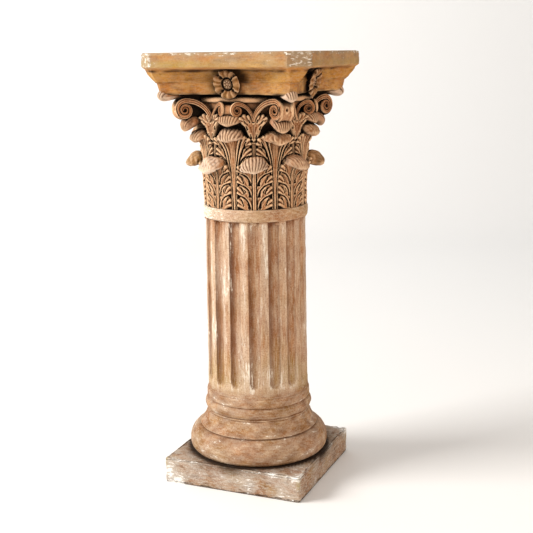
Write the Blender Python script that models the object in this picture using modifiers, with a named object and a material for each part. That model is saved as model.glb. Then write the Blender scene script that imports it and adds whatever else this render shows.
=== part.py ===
# A Corinthian pedestal in three pieces that stand on each other: a square plinth, a fluted
# shaft with its base mouldings and neck band, and a carved capital under a square abacus.
# Metres, +Z up, origin at the middle of the plinth's underside, abacus faces square to X and Y.
# A bearing is an angle about the vertical axis, from the -Y face towards +X.
import math

import bmesh
import bpy
from mathutils import Matrix, Vector

SEAT_GAP = 0.0003  # between two pieces that rest on each other

# Plinth
PLINTH_SIDE = 0.260
PLINTH_HEIGHT = 0.046
PLINTH_EDGE = 0.003

# Base mouldings of the shaft, from the plinth up
TORUS_RADIUS = 0.126
TORUS_HEIGHT = 0.044
TORUS_NECK_RADIUS = 0.101
LIP_RADIUS = 0.1075
LIP_HEIGHT = 0.003
SCOTIA_HEIGHT = 0.0265
SCOTIA_HOLLOW = 0.0022
FILLET_RADIUS = 0.0942
FILLET_HEIGHT = 0.003
UPPER_TORUS_RADIUS = 0.0975
UPPER_TORUS_HEIGHT = 0.0195
CINCTURE_RADIUS = 0.0937
CINCTURE_HEIGHT = 0.017
GROOVE_DEPTH = 0.0022

# Shaft and neck band
SHAFT_FOOT_RADIUS = 0.0912
SHAFT_TOP_RADIUS = 0.0887
SHAFT_HEIGHT = 0.3168
BAND_RADIUS = 0.0928
BAND_HEIGHT = 0.0212
BAND_ROUND = 0.004
FLUTE_COUNT = 16
FLUTE_WIDTH = 0.0200
FLUTE_DEPTH = 0.0062
FLUTE_START = 0.0187  # height of the round foot of a flute above the cincture
FLUTE_TOP_MARGIN = 0.0006
FLUTE_TOOL_STEPS = 8
TURNED_STEPS = 32

# Bell of the capital
CAPITAL_HEIGHT = 0.263
BELL_FOOT_RADIUS = 0.0880
BELL_WAIST_RADIUS = 0.0850
BELL_LIP_RADIUS = 0.1050
BELL_LIP_HEIGHT = 0.0145
BELL_LIP_OVERHANG = 0.006
BELL_WAIST_HEIGHT = 0.105
BELL_STEPS = 20
EDGE_ROUND = 0.002  # small roundings of the bell's lip and the abacus

# Abacus, from the top down
ABACUS_SIDE = 0.306
ABACUS_CORNER_CUT = 0.030
FASCIA_HEIGHT = 0.0225
ABACUS_OVOLO_HEIGHT = 0.025
ABACUS_BAND_HEIGHT = 0.0165
OVOLO_SIDE = 0.292
BAND_TOP_SIDE = 0.268
BAND_FOOT_SIDE = 0.258
CORNER_CUT_BELOW = 0.027
SIDE_HOLLOW = 0.016  # how far the mouldings under the fascia draw in at mid face
SIDE_SEGMENTS = 4

# Leaves: heights are above the foot of the capital
LEAF_COUNT = 8
LEAF_SPREAD = 2 * math.pi / LEAF_COUNT
LOWER_LEAF = {"foot_radius": 0.0915, "neck_radius": 0.0955, "neck_height": 0.0655, "tip_radius": 0.1170,
              "tip_height": 0.0740, "crown_height": 0.0944, "foot_height": 0.0,
              "foot_half_width": 0.0290,
              "half_width": 0.0305, "cap_half_width": 0.0225, "lobes": 3, "rows": 6}
UPPER_LEAF = {"foot_radius": 0.0905, "neck_radius": 0.0975, "neck_height": 0.1139, "tip_radius": 0.1165,
              "tip_height": 0.1215, "crown_height": 0.1404, "foot_height": 0.0450,
              "foot_half_width": 0.0080,
              "half_width": 0.0305, "cap_half_width": 0.0238, "lobes": 2, "rows": 5}
LEAF_STEM = {"half_width": 0.0025, "radius": 0.0905, "height": 0.055, "ridge": 0.0008}
LEAF_BACK_RADIUS = 0.0815
LEAF_BACK_DROP = 0.006  # how far the back of a cap lies below its crown
LOBE_DEPTH = 0.13
CAP_DROOP = 0.0020  # how far the ends of a curled cap hang below its middle
CAP_SWEEP = 0.78  # share of its overhang and height that a cap loses towards its ends
LOBE_SWELL = 0.0022  # how far the lobes beside the midrib stand out from the notches
LEAF_COLUMNS = 4
MIDRIB_RISE = 0.0020

# Scrolls: a pair stands at each corner and a smaller pair at the middle of each face
PAIR_COUNT = 4
DISC_SPLAY = math.radians(28)
STALK_RADIUS = 0.100
CORNER_SCROLL = {"reach": 0.1325, "spread": 0.0215, "height": 0.168, "rise": 0.0235, "stem": 0.0046,
                 "core": 0.0200, "core_shift": 0.0020, "core_lift": 0.0015, "waist": 0.0030,
                 "stem_points": 4, "spiral_points": 8}
FACE_SCROLL = {"reach": 0.1120, "spread": 0.0170, "height": 0.167, "rise": 0.0150, "stem": 0.0034,
               "core": 0.0125, "core_shift": 0.0010, "core_lift": 0.0010, "waist": 0.0020,
               "stem_points": 3, "spiral_points": 6}
SPIRAL_TURNS = 1.45
SPIRAL_SHRINK = 0.80  # natural log of the shrink of the spiral's radius in one turn
CORE_SEGMENTS = 10

# Small curled leaves under the scrolls, with the same sizes as the big leaves
CORNER_SHELL = {"foot_radius": 0.0950, "neck_radius": 0.1040, "neck_height": 0.1275,
                "tip_radius": 0.1365,
                "tip_height": 0.1370, "crown_height": 0.1530, "foot_height": 0.1180,
                "foot_half_width": 0.0190, "half_width": 0.0210, "cap_half_width": 0.0200,
                "lobes": 0, "rows": 1}
FACE_SHELL = {"foot_radius": 0.0950, "neck_radius": 0.0990, "neck_height": 0.1400, "tip_radius": 0.1165,
              "tip_height": 0.1465, "crown_height": 0.1590, "foot_height": 0.1300,
              "foot_half_width": 0.0190,
              "half_width": 0.0200, "cap_half_width": 0.0205, "lobes": 0, "rows": 1}

# Horns under the corners of the abacus: each runs from the middle of the corner scrolls to its tip
HORN = {"tip_reach": 0.1710, "height": 0.1890, "half_width": 0.0150, "half_height": 0.0090,
        "tip": math.radians(-16)}
HORN_SEGMENTS = 8
HORN_RINGS = 4

# Stalks that carry the scrolls
STALK_FOOT_HEIGHT = 0.088
STALK_THICKNESS = 0.0042
COLLAR_HEIGHT = 0.117
COLLAR_THICKNESS = 0.0060
CALYX_THICKNESS = 0.0120
CALYX_TIP_HEIGHT = 0.156
STEM_SEAT = 0.003  # how far below the tip of the calyx the stems start
# where the two stems part, above the foot of the capital
STALK_SPLIT_HEIGHT = CALYX_TIP_HEIGHT - STEM_SEAT
CALYX_SHOULDER_DROP = 0.010
CALYX_BELLY_DROP = 0.020
CALYX_FOOT_RISE = 0.006
COLLAR_FOOT_DROP = 0.004
STALK_STEPS = 5

# Rosettes at mid face of the abacus
ROSETTE_RADIUS = 0.0228
ROSETTE_BACK = 0.104
ROSETTE_RISE = 0.0215
ROSETTE_LEAN = 0.20  # how far the top leans out, for each metre up
ROSETTE_DROP = 0.0505  # from the top of the abacus to the rosette's middle
ROSETTE_PETALS = 4
ROSETTE_NOTCH = 0.20
ROSETTE_SEGMENTS = 12

TERRACOTTA = (0.46, 0.27, 0.15, 1.0)
CAPITAL_TERRACOTTA = (0.36, 0.20, 0.10, 1.0)
PLINTH_TERRACOTTA = (0.50, 0.36, 0.24, 1.0)

# Levels worked out from the sizes above
SHAFT_BASE_Z = PLINTH_HEIGHT + SEAT_GAP
LIP_Z = SHAFT_BASE_Z + TORUS_HEIGHT
SCOTIA_TOP_Z = LIP_Z + LIP_HEIGHT + SCOTIA_HEIGHT
UPPER_TORUS_Z = SCOTIA_TOP_Z + FILLET_HEIGHT
CINCTURE_Z = UPPER_TORUS_Z + UPPER_TORUS_HEIGHT
SHAFT_FOOT_Z = CINCTURE_Z + CINCTURE_HEIGHT
BAND_Z = SHAFT_FOOT_Z + SHAFT_HEIGHT
SHAFT_TOP_Z = BAND_Z + BAND_HEIGHT
CAPITAL_Z = SHAFT_TOP_Z + SEAT_GAP
TOP_Z = CAPITAL_Z + CAPITAL_HEIGHT
ABACUS_FOOT_Z = TOP_Z - FASCIA_HEIGHT - ABACUS_OVOLO_HEIGHT - ABACUS_BAND_HEIGHT


def direction(bearing):
    """Unit vector out of the axis at a bearing."""
    return Vector((math.sin(bearing), -math.cos(bearing), 0.0))


def sideways(bearing):
    """Unit vector along the surface at a bearing, towards larger bearings."""
    return Vector((math.cos(bearing), math.sin(bearing), 0.0))


def collection(name, parent=None):
    made = bpy.data.collections.new(name)
    (parent or bpy.context.scene.collection).children.link(made)
    return made


def material(name, colour, roughness):
    made = bpy.data.materials.new(name)
    made.use_nodes = True
    shader = made.node_tree.nodes["Principled BSDF"]
    shader.inputs["Base Color"].default_value = colour
    shader.inputs["Roughness"].default_value = roughness
    shader.inputs["Metallic"].default_value = 0.0
    return made


def put(name, mesh, where, tool=False):
    """Makes an object of a mesh; a tool is a cutter or a member of a union, and is not a piece."""
    made = bpy.data.objects.new(name, mesh)
    where.objects.link(made)
    if tool:
        made.hide_render = True
        made.display_type = "WIRE"
    return made


def baked_mesh(source):
    """The evaluated mesh of an object in world space, with loose caps welded. The object is removed."""
    bpy.context.view_layer.update()
    evaluated = source.evaluated_get(bpy.context.evaluated_depsgraph_get())
    mesh = bpy.data.meshes.new_from_object(evaluated)
    mesh.transform(source.matrix_world)
    bpy.data.objects.remove(source)
    work = bmesh.new()
    work.from_mesh(mesh)
    bmesh.ops.remove_doubles(work, verts=work.verts, dist=0.00002)
    bmesh.ops.recalc_face_normals(work, faces=work.faces)
    work.to_mesh(mesh)
    work.free()
    return mesh


def arc(centre, radii, start, end, count):
    """Points on an ellipse's arc in the profile plane, between two angles in degrees."""
    angles = [math.radians(start + (end - start) * i / count) for i in range(count + 1)]
    return [(centre[0] + radii[0] * math.cos(a), centre[1] + radii[1] * math.sin(a)) for a in angles]


def turned(name, profile, steps, where, tool=False):
    """A profile of (radius, height) points, run down its outer side, turned about the vertical axis."""
    mesh = bpy.data.meshes.new(name)
    edges = [(i, i + 1) for i in range(len(profile) - 1)]
    mesh.from_pydata([(r, 0.0, z) for r, z in profile], edges, [])
    made = put(name, mesh, where, tool)
    screw = made.modifiers.new("turn", "SCREW")
    screw.steps = steps
    screw.render_steps = steps
    screw.use_merge_vertices = True
    screw.merge_threshold = 0.00002
    return made


def loft(name, rings, where, tool=False, ends=None):
    """A closed solid through rings of the same number of points. Each end ring is capped by one face,
    or by the faces listed in ends as indices along the ring."""
    work = bmesh.new()
    rows = [[work.verts.new(point) for point in ring] for ring in rings]
    count = len(rows[0])
    for low, high in zip(rows, rows[1:]):
        for i in range(count):
            work.faces.new((low[i], low[(i + 1) % count], high[(i + 1) % count], high[i]))
    for face in ends or [range(count)]:
        work.faces.new([rows[0][i] for i in reversed(face)])
        work.faces.new([rows[-1][i] for i in face])
    bmesh.ops.recalc_face_normals(work, faces=work.faces)
    mesh = bpy.data.meshes.new(name)
    work.to_mesh(mesh)
    work.free()
    return put(name, mesh, where, tool)


def plinth(where):
    work = bmesh.new()
    bmesh.ops.create_cube(work, size=1.0)
    bmesh.ops.scale(work, verts=work.verts, vec=(PLINTH_SIDE, PLINTH_SIDE, PLINTH_HEIGHT))
    bmesh.ops.translate(work, verts=work.verts, vec=(0, 0, PLINTH_HEIGHT / 2))
    mesh = bpy.data.meshes.new("plinth")
    work.to_mesh(mesh)
    work.free()
    made = put("plinth", mesh, where)
    bevel = made.modifiers.new("worn edges", "BEVEL")
    bevel.width = PLINTH_EDGE
    bevel.segments = 2
    return made


def shaft_profile():
    """The shaft from the top of its neck band down to the underside of its big torus."""
    band_top = SHAFT_TOP_Z - BAND_ROUND
    half_torus = TORUS_HEIGHT / 2
    half_upper = UPPER_TORUS_HEIGHT / 2
    points = [(0.0, SHAFT_TOP_Z)]
    points += arc((BAND_RADIUS - BAND_ROUND, band_top), (BAND_ROUND, BAND_ROUND), 90, 0, 2)
    points += [(BAND_RADIUS, BAND_Z + BAND_ROUND / 2), (BAND_RADIUS - BAND_ROUND / 2, BAND_Z)]
    points += [(SHAFT_TOP_RADIUS, BAND_Z), (SHAFT_FOOT_RADIUS, SHAFT_FOOT_Z)]
    points += [(CINCTURE_RADIUS, SHAFT_FOOT_Z - GROOVE_DEPTH),
               (CINCTURE_RADIUS, CINCTURE_Z + GROOVE_DEPTH)]
    points += [(CINCTURE_RADIUS - GROOVE_DEPTH, CINCTURE_Z)]
    upper_bulge = UPPER_TORUS_RADIUS - CINCTURE_RADIUS
    points += arc((CINCTURE_RADIUS, CINCTURE_Z - half_upper), (upper_bulge, half_upper), 70, -70, 3)
    points += [(FILLET_RADIUS - GROOVE_DEPTH, UPPER_TORUS_Z)]
    points += [(FILLET_RADIUS, UPPER_TORUS_Z - FILLET_HEIGHT / 2)]
    points += [(FILLET_RADIUS - GROOVE_DEPTH / 2, SCOTIA_TOP_Z)]
    for step in (0.33, 0.67, 1.0):
        hollow = SCOTIA_HOLLOW * math.sin(math.pi * step)
        start = FILLET_RADIUS - GROOVE_DEPTH / 2
        points.append((start + (LIP_RADIUS - start) * step - hollow,
                       SCOTIA_TOP_Z - SCOTIA_HEIGHT * step))
    points += [(LIP_RADIUS, LIP_Z + LIP_HEIGHT / 3),
               (LIP_RADIUS - GROOVE_DEPTH, LIP_Z - GROOVE_DEPTH / 2)]
    bulge = TORUS_RADIUS - TORUS_NECK_RADIUS
    points += arc((TORUS_NECK_RADIUS, LIP_Z - half_torus), (bulge, half_torus), 60, -80, 5)
    points.append((0.0, SHAFT_BASE_Z))
    points[-2] = (points[-2][0], SHAFT_BASE_Z)
    return points


def flute_cutter(where):
    """A tool with a round foot, an elliptic section and a flat top, leaning with the shaft's taper."""
    half = FLUTE_WIDTH / 2
    foot = SHAFT_FOOT_Z + FLUTE_START
    top = BAND_Z - FLUTE_TOP_MARGIN
    length = top - foot
    profile = [(0.0, length), (half, length), (half, half)]
    profile += arc((0.0, half), (half, half), -30, -90, 2)
    made = turned("flute tool", profile, FLUTE_TOOL_STEPS, where, tool=True)
    lean = math.atan2(SHAFT_FOOT_RADIUS - SHAFT_TOP_RADIUS, SHAFT_HEIGHT)
    slope = (SHAFT_FOOT_RADIUS - SHAFT_TOP_RADIUS) / SHAFT_HEIGHT
    radius = SHAFT_FOOT_RADIUS - slope * FLUTE_START
    made.matrix_world = (Matrix.Translation((radius, 0, foot)) @ Matrix.Rotation(-lean, 4, "Y")
                         @ Matrix.Diagonal((FLUTE_DEPTH / half, 1, 1, 1)))
    return baked_mesh(made)


def shaft(where, tools):
    made = turned("shaft", shaft_profile(), TURNED_STEPS, where)
    mesh = baked_mesh(made)
    made = put("shaft", mesh, where)
    cutters = collection("flute tools", tools)
    cutter_mesh = flute_cutter(cutters)
    pitch = 2 * math.pi / FLUTE_COUNT
    for i in range(FLUTE_COUNT):
        cutter = put(f"flute_tool_{i + 1}", cutter_mesh, cutters, tool=True)
        cutter.matrix_world = Matrix.Rotation(i * pitch - math.pi / 2, 4, "Z")
    cut = made.modifiers.new("flutes", "BOOLEAN")
    cut.operation = "DIFFERENCE"
    cut.operand_type = "COLLECTION"
    cut.collection = cutters
    cut.solver = "EXACT"
    return made


def bell(where):
    lip = ABACUS_FOOT_Z - BELL_LIP_HEIGHT
    waist = CAPITAL_Z + BELL_WAIST_HEIGHT
    inside = ABACUS_FOOT_Z + ABACUS_BAND_HEIGHT / 2
    points = [(0.0, inside), (BELL_LIP_RADIUS - EDGE_ROUND, inside)]
    points += [(BELL_LIP_RADIUS, ABACUS_FOOT_Z - EDGE_ROUND / 2)]
    points += [(BELL_LIP_RADIUS, lip + EDGE_ROUND), (BELL_LIP_RADIUS - EDGE_ROUND, lip)]
    rise = lip - waist
    flare = BELL_LIP_RADIUS - BELL_LIP_OVERHANG - BELL_WAIST_RADIUS
    for step in (0.0, 0.25, 0.55):
        points.append((BELL_WAIST_RADIUS + flare * (1 - step) ** 2.2, lip - rise * step))
    points += [(BELL_WAIST_RADIUS, waist), (BELL_FOOT_RADIUS, CAPITAL_Z), (0.0, CAPITAL_Z)]
    return turned("capital", points, BELL_STEPS, where)


def abacus_ring(side, cut, hollow, z):
    """The plan outline at one level: four sides drawn in by a shallow arc, with the corners cut off."""
    half = side / 2
    points = []
    for k in range(4):
        out, along = direction(k * math.pi / 2), sideways(k * math.pi / 2)
        for i in range(SIDE_SEGMENTS + 1):
            t = -1 + 2 * i / SIDE_SEGMENTS
            draw = hollow * (1 - t * t)
            points.append(out * (half - draw) + along * (t * (half - cut)) + Vector((0, 0, z)))
    return points


def abacus(where):
    fascia_foot = TOP_Z - FASCIA_HEIGHT
    band_top = ABACUS_FOOT_Z + ABACUS_BAND_HEIGHT
    ovolo = band_top + ABACUS_OVOLO_HEIGHT * 0.75
    middle = band_top + ABACUS_OVOLO_HEIGHT * 0.30
    between = BAND_TOP_SIDE + (OVOLO_SIDE - BAND_TOP_SIDE) * 0.62
    rings = [
        abacus_ring(BAND_FOOT_SIDE, CORNER_CUT_BELOW, SIDE_HOLLOW, ABACUS_FOOT_Z),
        abacus_ring(BAND_TOP_SIDE - 2 * EDGE_ROUND, CORNER_CUT_BELOW, SIDE_HOLLOW,
                    band_top - EDGE_ROUND),
        abacus_ring(BAND_TOP_SIDE, CORNER_CUT_BELOW, SIDE_HOLLOW, band_top),
        abacus_ring(between, CORNER_CUT_BELOW, SIDE_HOLLOW, middle),
        abacus_ring(OVOLO_SIDE, ABACUS_CORNER_CUT, SIDE_HOLLOW, ovolo),
        abacus_ring(ABACUS_SIDE - 2 * EDGE_ROUND, ABACUS_CORNER_CUT, 0.0, fascia_foot),
        abacus_ring(ABACUS_SIDE, ABACUS_CORNER_CUT, 0.0, fascia_foot + EDGE_ROUND),
        abacus_ring(ABACUS_SIDE, ABACUS_CORNER_CUT, 0.0, TOP_Z - EDGE_ROUND),
        abacus_ring(ABACUS_SIDE - 2 * EDGE_ROUND, ABACUS_CORNER_CUT, 0.0, TOP_Z),
    ]
    return loft("abacus", rings, where, tool=True)


def leaf_stations(leaf):
    """The leaf's section at its spine as (radius, height, half width, curled) round a closed loop: up
    the front to the neck, out under the curled cap to its tip, back over the cap on a quarter ellipse,
    and down inside the bell."""
    stations = []
    for i in range(leaf["rows"] + 1):
        share = i / leaf["rows"]
        radius = leaf["foot_radius"] + (leaf["neck_radius"] - leaf["foot_radius"]) * share ** 2
        height = leaf["foot_height"] + (leaf["neck_height"] - leaf["foot_height"]) * share
        spread = leaf["half_width"] - leaf["foot_half_width"]
        width = leaf["foot_half_width"] + spread * min(share * 2, 1.0)
        width *= 1 - LOBE_DEPTH * (0.5 + 0.5 * math.cos(2 * math.pi * leaf["lobes"] * share))
        stations.append((radius, height, width, 0.0))
    overhang = leaf["tip_radius"] - leaf["neck_radius"]
    rise = leaf["crown_height"] - leaf["tip_height"]
    cap = leaf["cap_half_width"]
    stations.append((leaf["neck_radius"] + overhang * 0.5, leaf["neck_height"], cap, 1.0))
    for degrees in (-8, 25, 58, 90):
        angle = math.radians(degrees)
        radius = leaf["neck_radius"] + overhang * math.cos(angle)
        stations.append((radius, leaf["tip_height"] + rise * math.sin(angle), cap, 1.0))
    stations.append((LEAF_BACK_RADIUS, leaf["crown_height"] - LEAF_BACK_DROP, leaf["half_width"], 1.0))
    stations.append((LEAF_BACK_RADIUS, leaf["foot_height"], leaf["half_width"], 0.0))
    return stations


def leaf(name, sizes, bearing, where):
    """An acanthus leaf: its section is repeated at even steps across the width from u = -1 to 1. The
    front swells to a midrib, and the cap droops, narrows and draws in with the square of u."""
    middle = (sizes["neck_height"] + sizes["crown_height"]) / 2
    rings = []
    for i in range(LEAF_COLUMNS + 1):
        u = -1 + 2 * i / LEAF_COLUMNS
        ring = []
        for radius, height, width, curled in leaf_stations(sizes):
            overhang = max(radius - sizes["neck_radius"], 0.0)
            radius -= overhang * CAP_SWEEP * curled * u * u
            height -= curled * u * u * (CAP_DROOP + (height - middle) * CAP_SWEEP)
            if radius > LEAF_BACK_RADIUS and not curled:
                ripple = math.cos(2 * math.pi * sizes["lobes"] * (height - sizes["foot_height"])
                                  / (sizes["neck_height"] - sizes["foot_height"]))
                radius += MIDRIB_RISE if u == 0 else -LOBE_SWELL * (0.5 + 0.5 * ripple) * (1 - u * u)
            turn = bearing + u * width / radius
            ring.append(direction(turn) * radius + Vector((0, 0, CAPITAL_Z + height)))
        rings.append(ring)
    back_top, back_foot = len(rings[0]) - 2, len(rings[0]) - 1
    ends = [(i, i + 1, back_foot) for i in range(sizes["rows"])]
    ends.append((sizes["rows"], back_top, back_foot))
    ends += [(i, i + 1, back_top) for i in range(sizes["rows"], back_top - 1)]
    return loft(name, rings, where, tool=True, ends=ends)


def leaf_stem(name, bearing, where):
    """The strip between two lower leaves that feeds the upper leaf."""
    turn = LEAF_STEM["half_width"] / LEAF_STEM["radius"]
    rings = []
    for height in (0.0, LEAF_STEM["height"]):
        level = Vector((0, 0, CAPITAL_Z + height))
        front, ridge = LEAF_STEM["radius"], LEAF_STEM["radius"] + LEAF_STEM["ridge"]
        corners = [(LEAF_BACK_RADIUS, -turn), (front, -turn), (ridge, 0), (front, turn),
                   (LEAF_BACK_RADIUS, turn)]
        rings.append([direction(bearing + t) * r + level for r, t in corners])
    return loft(name, rings, where, tool=True)


def scroll_frame(scroll, bearing, side):
    """Middle of one spiral, and the directions along its disc outward and out of its face."""
    out, along = direction(bearing), sideways(bearing)
    level = Vector((0, 0, CAPITAL_Z + scroll["height"]))
    middle = out * scroll["reach"] + along * (side * scroll["spread"]) + level
    outward = out * math.cos(DISC_SPLAY) - along * (side * math.sin(DISC_SPLAY))
    face = out * math.sin(DISC_SPLAY) + along * (side * math.cos(DISC_SPLAY))
    return middle, outward, face


def stem_path(scroll, bearing, side):
    """Points of a stem with their thickness: a quarter ellipse from the stalk up to the top of the
    scroll, then a spiral whose radius shrinks by the same share in each turn."""
    middle, outward, face = scroll_frame(scroll, bearing, side)
    split = direction(bearing + side * LEAF_SPREAD / 2) * STALK_RADIUS
    split.z = CAPITAL_Z + STALK_SPLIT_HEIGHT
    start = split - middle
    run, drop, aside = -start.dot(outward), -start.z, start.dot(face)
    up = Vector((0, 0, 1))
    points = []
    for i in range(scroll["stem_points"]):
        t = i / scroll["stem_points"]
        angle = t * math.pi / 2
        place = middle - outward * (run * math.cos(angle)) + face * (aside * (1 - t) ** 2)
        place += up * (-drop + (scroll["rise"] + drop) * math.sin(angle))
        points.append((place, 0.65 + 0.35 * t))
    for i in range(scroll["spiral_points"] + 1):
        turned_by = SPIRAL_TURNS * i / scroll["spiral_points"]
        shrink = math.exp(-SPIRAL_SHRINK * turned_by)
        angle = math.pi / 2 - 2 * math.pi * turned_by
        reach = scroll["rise"] * shrink
        points.append((middle + outward * (reach * math.cos(angle)) + up * (reach * math.sin(angle)),
                       0.35 + 0.65 * shrink))
    return points


def stem(name, scroll, bearing, side, where):
    curve = bpy.data.curves.new(name, "CURVE")
    curve.dimensions = "3D"
    curve.bevel_depth = scroll["stem"]
    curve.bevel_resolution = 0
    curve.use_fill_caps = True
    path = stem_path(scroll, bearing, side)
    spline = curve.splines.new("POLY")
    spline.points.add(len(path) - 1)
    for point, (place, thickness) in zip(spline.points, path):
        point.co = (*place, 1.0)
        point.radius = thickness
    drawn = bpy.data.objects.new(name, curve)
    where.objects.link(drawn)
    return put(name, baked_mesh(drawn), where, tool=True)


def scroll_core(name, scroll, bearing, where):
    """The bolster between the two discs of a pair, drawn in at its waist."""
    rings = []
    for side in (-1, 0, 1):
        middle, outward, face = scroll_frame(scroll, bearing, side)
        radius = scroll["core"] - (scroll["waist"] if side == 0 else 0.0)
        middle = middle + outward * scroll["core_shift"] + Vector((0, 0, scroll["core_lift"]))
        ring = []
        for i in range(CORE_SEGMENTS):
            angle = 2 * math.pi * i / CORE_SEGMENTS
            up = Vector((0, 0, radius * math.sin(angle)))
            ring.append(middle + outward * (radius * math.cos(angle)) + up)
        rings.append(ring)
    return loft(name, rings, where, tool=True)


def horn(name, bearing, where):
    """The lump of a small curled leaf under a corner of the abacus, tipped upward."""
    work = bmesh.new()
    bmesh.ops.create_uvsphere(work, u_segments=HORN_SEGMENTS, v_segments=HORN_RINGS, radius=1.0)
    mesh = bpy.data.meshes.new(name)
    work.to_mesh(mesh)
    work.free()
    made = put(name, mesh, where, tool=True)
    root = CORNER_SCROLL["reach"]
    level = Vector((0, 0, CAPITAL_Z + HORN["height"]))
    place = direction(bearing) * ((HORN["tip_reach"] + root) / 2) + level
    size = (HORN["half_width"], (HORN["tip_reach"] - root) / 2, HORN["half_height"], 1)
    made.matrix_world = (Matrix.Translation(place) @ Matrix.Rotation(bearing, 4, "Z")
                         @ Matrix.Rotation(HORN["tip"], 4, "X") @ Matrix.Diagonal(size))
    return made


def stalk(name, bearing, where):
    profile = [(0.0, CALYX_TIP_HEIGHT), (CALYX_THICKNESS * 0.75, CALYX_TIP_HEIGHT - CALYX_SHOULDER_DROP),
               (CALYX_THICKNESS, CALYX_TIP_HEIGHT - CALYX_BELLY_DROP),
               (CALYX_THICKNESS * 0.6, COLLAR_HEIGHT + CALYX_FOOT_RISE),
               (COLLAR_THICKNESS, COLLAR_HEIGHT), (STALK_THICKNESS, COLLAR_HEIGHT - COLLAR_FOOT_DROP),
               (STALK_THICKNESS, STALK_FOOT_HEIGHT), (0.0, STALK_FOOT_HEIGHT)]
    made = turned(name, profile, STALK_STEPS, where, tool=True)
    place = direction(bearing) * (STALK_RADIUS - STALK_THICKNESS)
    made.matrix_world = Matrix.Translation((place.x, place.y, CAPITAL_Z))
    return put(name, baked_mesh(made), where, tool=True)


def rosette(name, bearing, where):
    """A flower of four notched petals round a sunk eye with a button."""
    middle = Vector((0, 0, TOP_Z - ROSETTE_DROP))
    out, along = direction(bearing), sideways(bearing)
    levels = [(0.90, 0.0, 0.5), (1.0, 0.70, 1.0), (0.74, 1.0, 0.6), (0.34, 0.97, 0.0), (0.28, 0.86, 0.0),
              (0.14, 1.0, 0.0)]
    rings = []
    for share, rise, notch in levels:
        ring = []
        for i in range(ROSETTE_SEGMENTS):
            angle = 2 * math.pi * i / ROSETTE_SEGMENTS
            petal = 1 - ROSETTE_NOTCH * notch * (0.5 + 0.5 * math.cos(ROSETTE_PETALS * angle))
            reach = ROSETTE_RADIUS * share * petal
            up = reach * math.cos(angle)
            place = middle + out * (ROSETTE_BACK + ROSETTE_RISE * rise + ROSETTE_LEAN * rise * up)
            ring.append(place + along * (reach * math.sin(angle)) + Vector((0, 0, up)))
        rings.append(ring)
    return loft(name, rings, where, tool=True)


def capital(where, tools):
    members = collection("capital members", tools)
    abacus(members)
    for i in range(LEAF_COUNT):
        bearing = i * LEAF_SPREAD
        leaf(f"lower_leaf_{i + 1}", LOWER_LEAF, bearing + LEAF_SPREAD / 2, members)
        leaf(f"upper_leaf_{i + 1}", UPPER_LEAF, bearing, members)
        leaf_stem(f"leaf_stem_{i + 1}", bearing, members)
        stalk(f"stalk_{i + 1}", bearing + LEAF_SPREAD / 2, members)
    for i in range(PAIR_COUNT):
        face = i * 2 * math.pi / PAIR_COUNT
        corner = face + math.pi / PAIR_COUNT
        for label, scroll, bearing in (("corner", CORNER_SCROLL, corner), ("face", FACE_SCROLL, face)):
            scroll_core(f"{label}_core_{i + 1}", scroll, bearing, members)
            for side in (-1, 1):
                stem(f"{label}_stem_{i + 1}_{side}", scroll, bearing, side, members)
        leaf(f"corner_shell_{i + 1}", CORNER_SHELL, corner, members)
        leaf(f"face_shell_{i + 1}", FACE_SHELL, face, members)
        horn(f"horn_{i + 1}", corner, members)
        rosette(f"rosette_{i + 1}", face, members)
    made = bell(where)
    join = made.modifiers.new("carving", "BOOLEAN")
    join.operation = "UNION"
    join.operand_type = "COLLECTION"
    join.collection = members
    join.solver = "EXACT"
    return made


def finish(piece, look, sharp_degrees):
    """Gives a piece its material and smooth shading between sharp edges."""
    piece.data.materials.append(look)
    piece.data.shade_smooth()
    piece.data.set_sharp_from_angle(angle=math.radians(sharp_degrees))


def main():
    for old in list(bpy.data.objects):
        bpy.data.objects.remove(old)
    pieces = collection("corinthian pedestal")
    tools = collection("tools")
    finish(plinth(pieces), material("weathered terracotta", PLINTH_TERRACOTTA, 0.9), 30)
    finish(shaft(pieces, tools), material("terracotta", TERRACOTTA, 0.85), 30)
    finish(capital(pieces, tools), material("dark terracotta", CAPITAL_TERRACOTTA, 0.85), 30)


main()
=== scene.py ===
import math

import bmesh
import bpy
import numpy as np
from mathutils import Matrix, Vector


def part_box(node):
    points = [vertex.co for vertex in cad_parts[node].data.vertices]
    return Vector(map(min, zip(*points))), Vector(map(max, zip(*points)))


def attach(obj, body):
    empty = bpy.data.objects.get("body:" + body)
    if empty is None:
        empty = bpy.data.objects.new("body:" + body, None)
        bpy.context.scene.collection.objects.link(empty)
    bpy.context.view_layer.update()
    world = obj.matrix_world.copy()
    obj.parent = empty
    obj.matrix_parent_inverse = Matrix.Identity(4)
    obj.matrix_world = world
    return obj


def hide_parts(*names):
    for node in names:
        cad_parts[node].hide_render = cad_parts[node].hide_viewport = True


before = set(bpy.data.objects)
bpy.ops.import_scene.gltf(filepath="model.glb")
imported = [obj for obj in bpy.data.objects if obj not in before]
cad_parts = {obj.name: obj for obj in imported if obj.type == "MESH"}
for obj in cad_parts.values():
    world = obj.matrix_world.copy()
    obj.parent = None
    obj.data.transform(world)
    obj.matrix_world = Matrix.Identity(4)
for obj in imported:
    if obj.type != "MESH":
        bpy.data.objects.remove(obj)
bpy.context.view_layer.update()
mm = 0.001
capLow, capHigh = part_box("capital")
shaftLow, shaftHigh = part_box("shaft")
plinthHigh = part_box("plinth")[1]
capFoot, topZ = capLow.z, capHigh.z
quarter = math.pi / 2
leafPitch = math.pi / 4
painted = ("hollow", "rubAndHighlight", "chalk", "tint", "lie")  # what each point of a mesh carries


# Helpers for surfaces. A bearing is an angle about the vertical axis from -Y towards +X.
def smooth(low, high, x):
    t = np.clip((x - low) / (high - low), 0, 1)
    return t * t * (3 - 2 * t)


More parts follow.
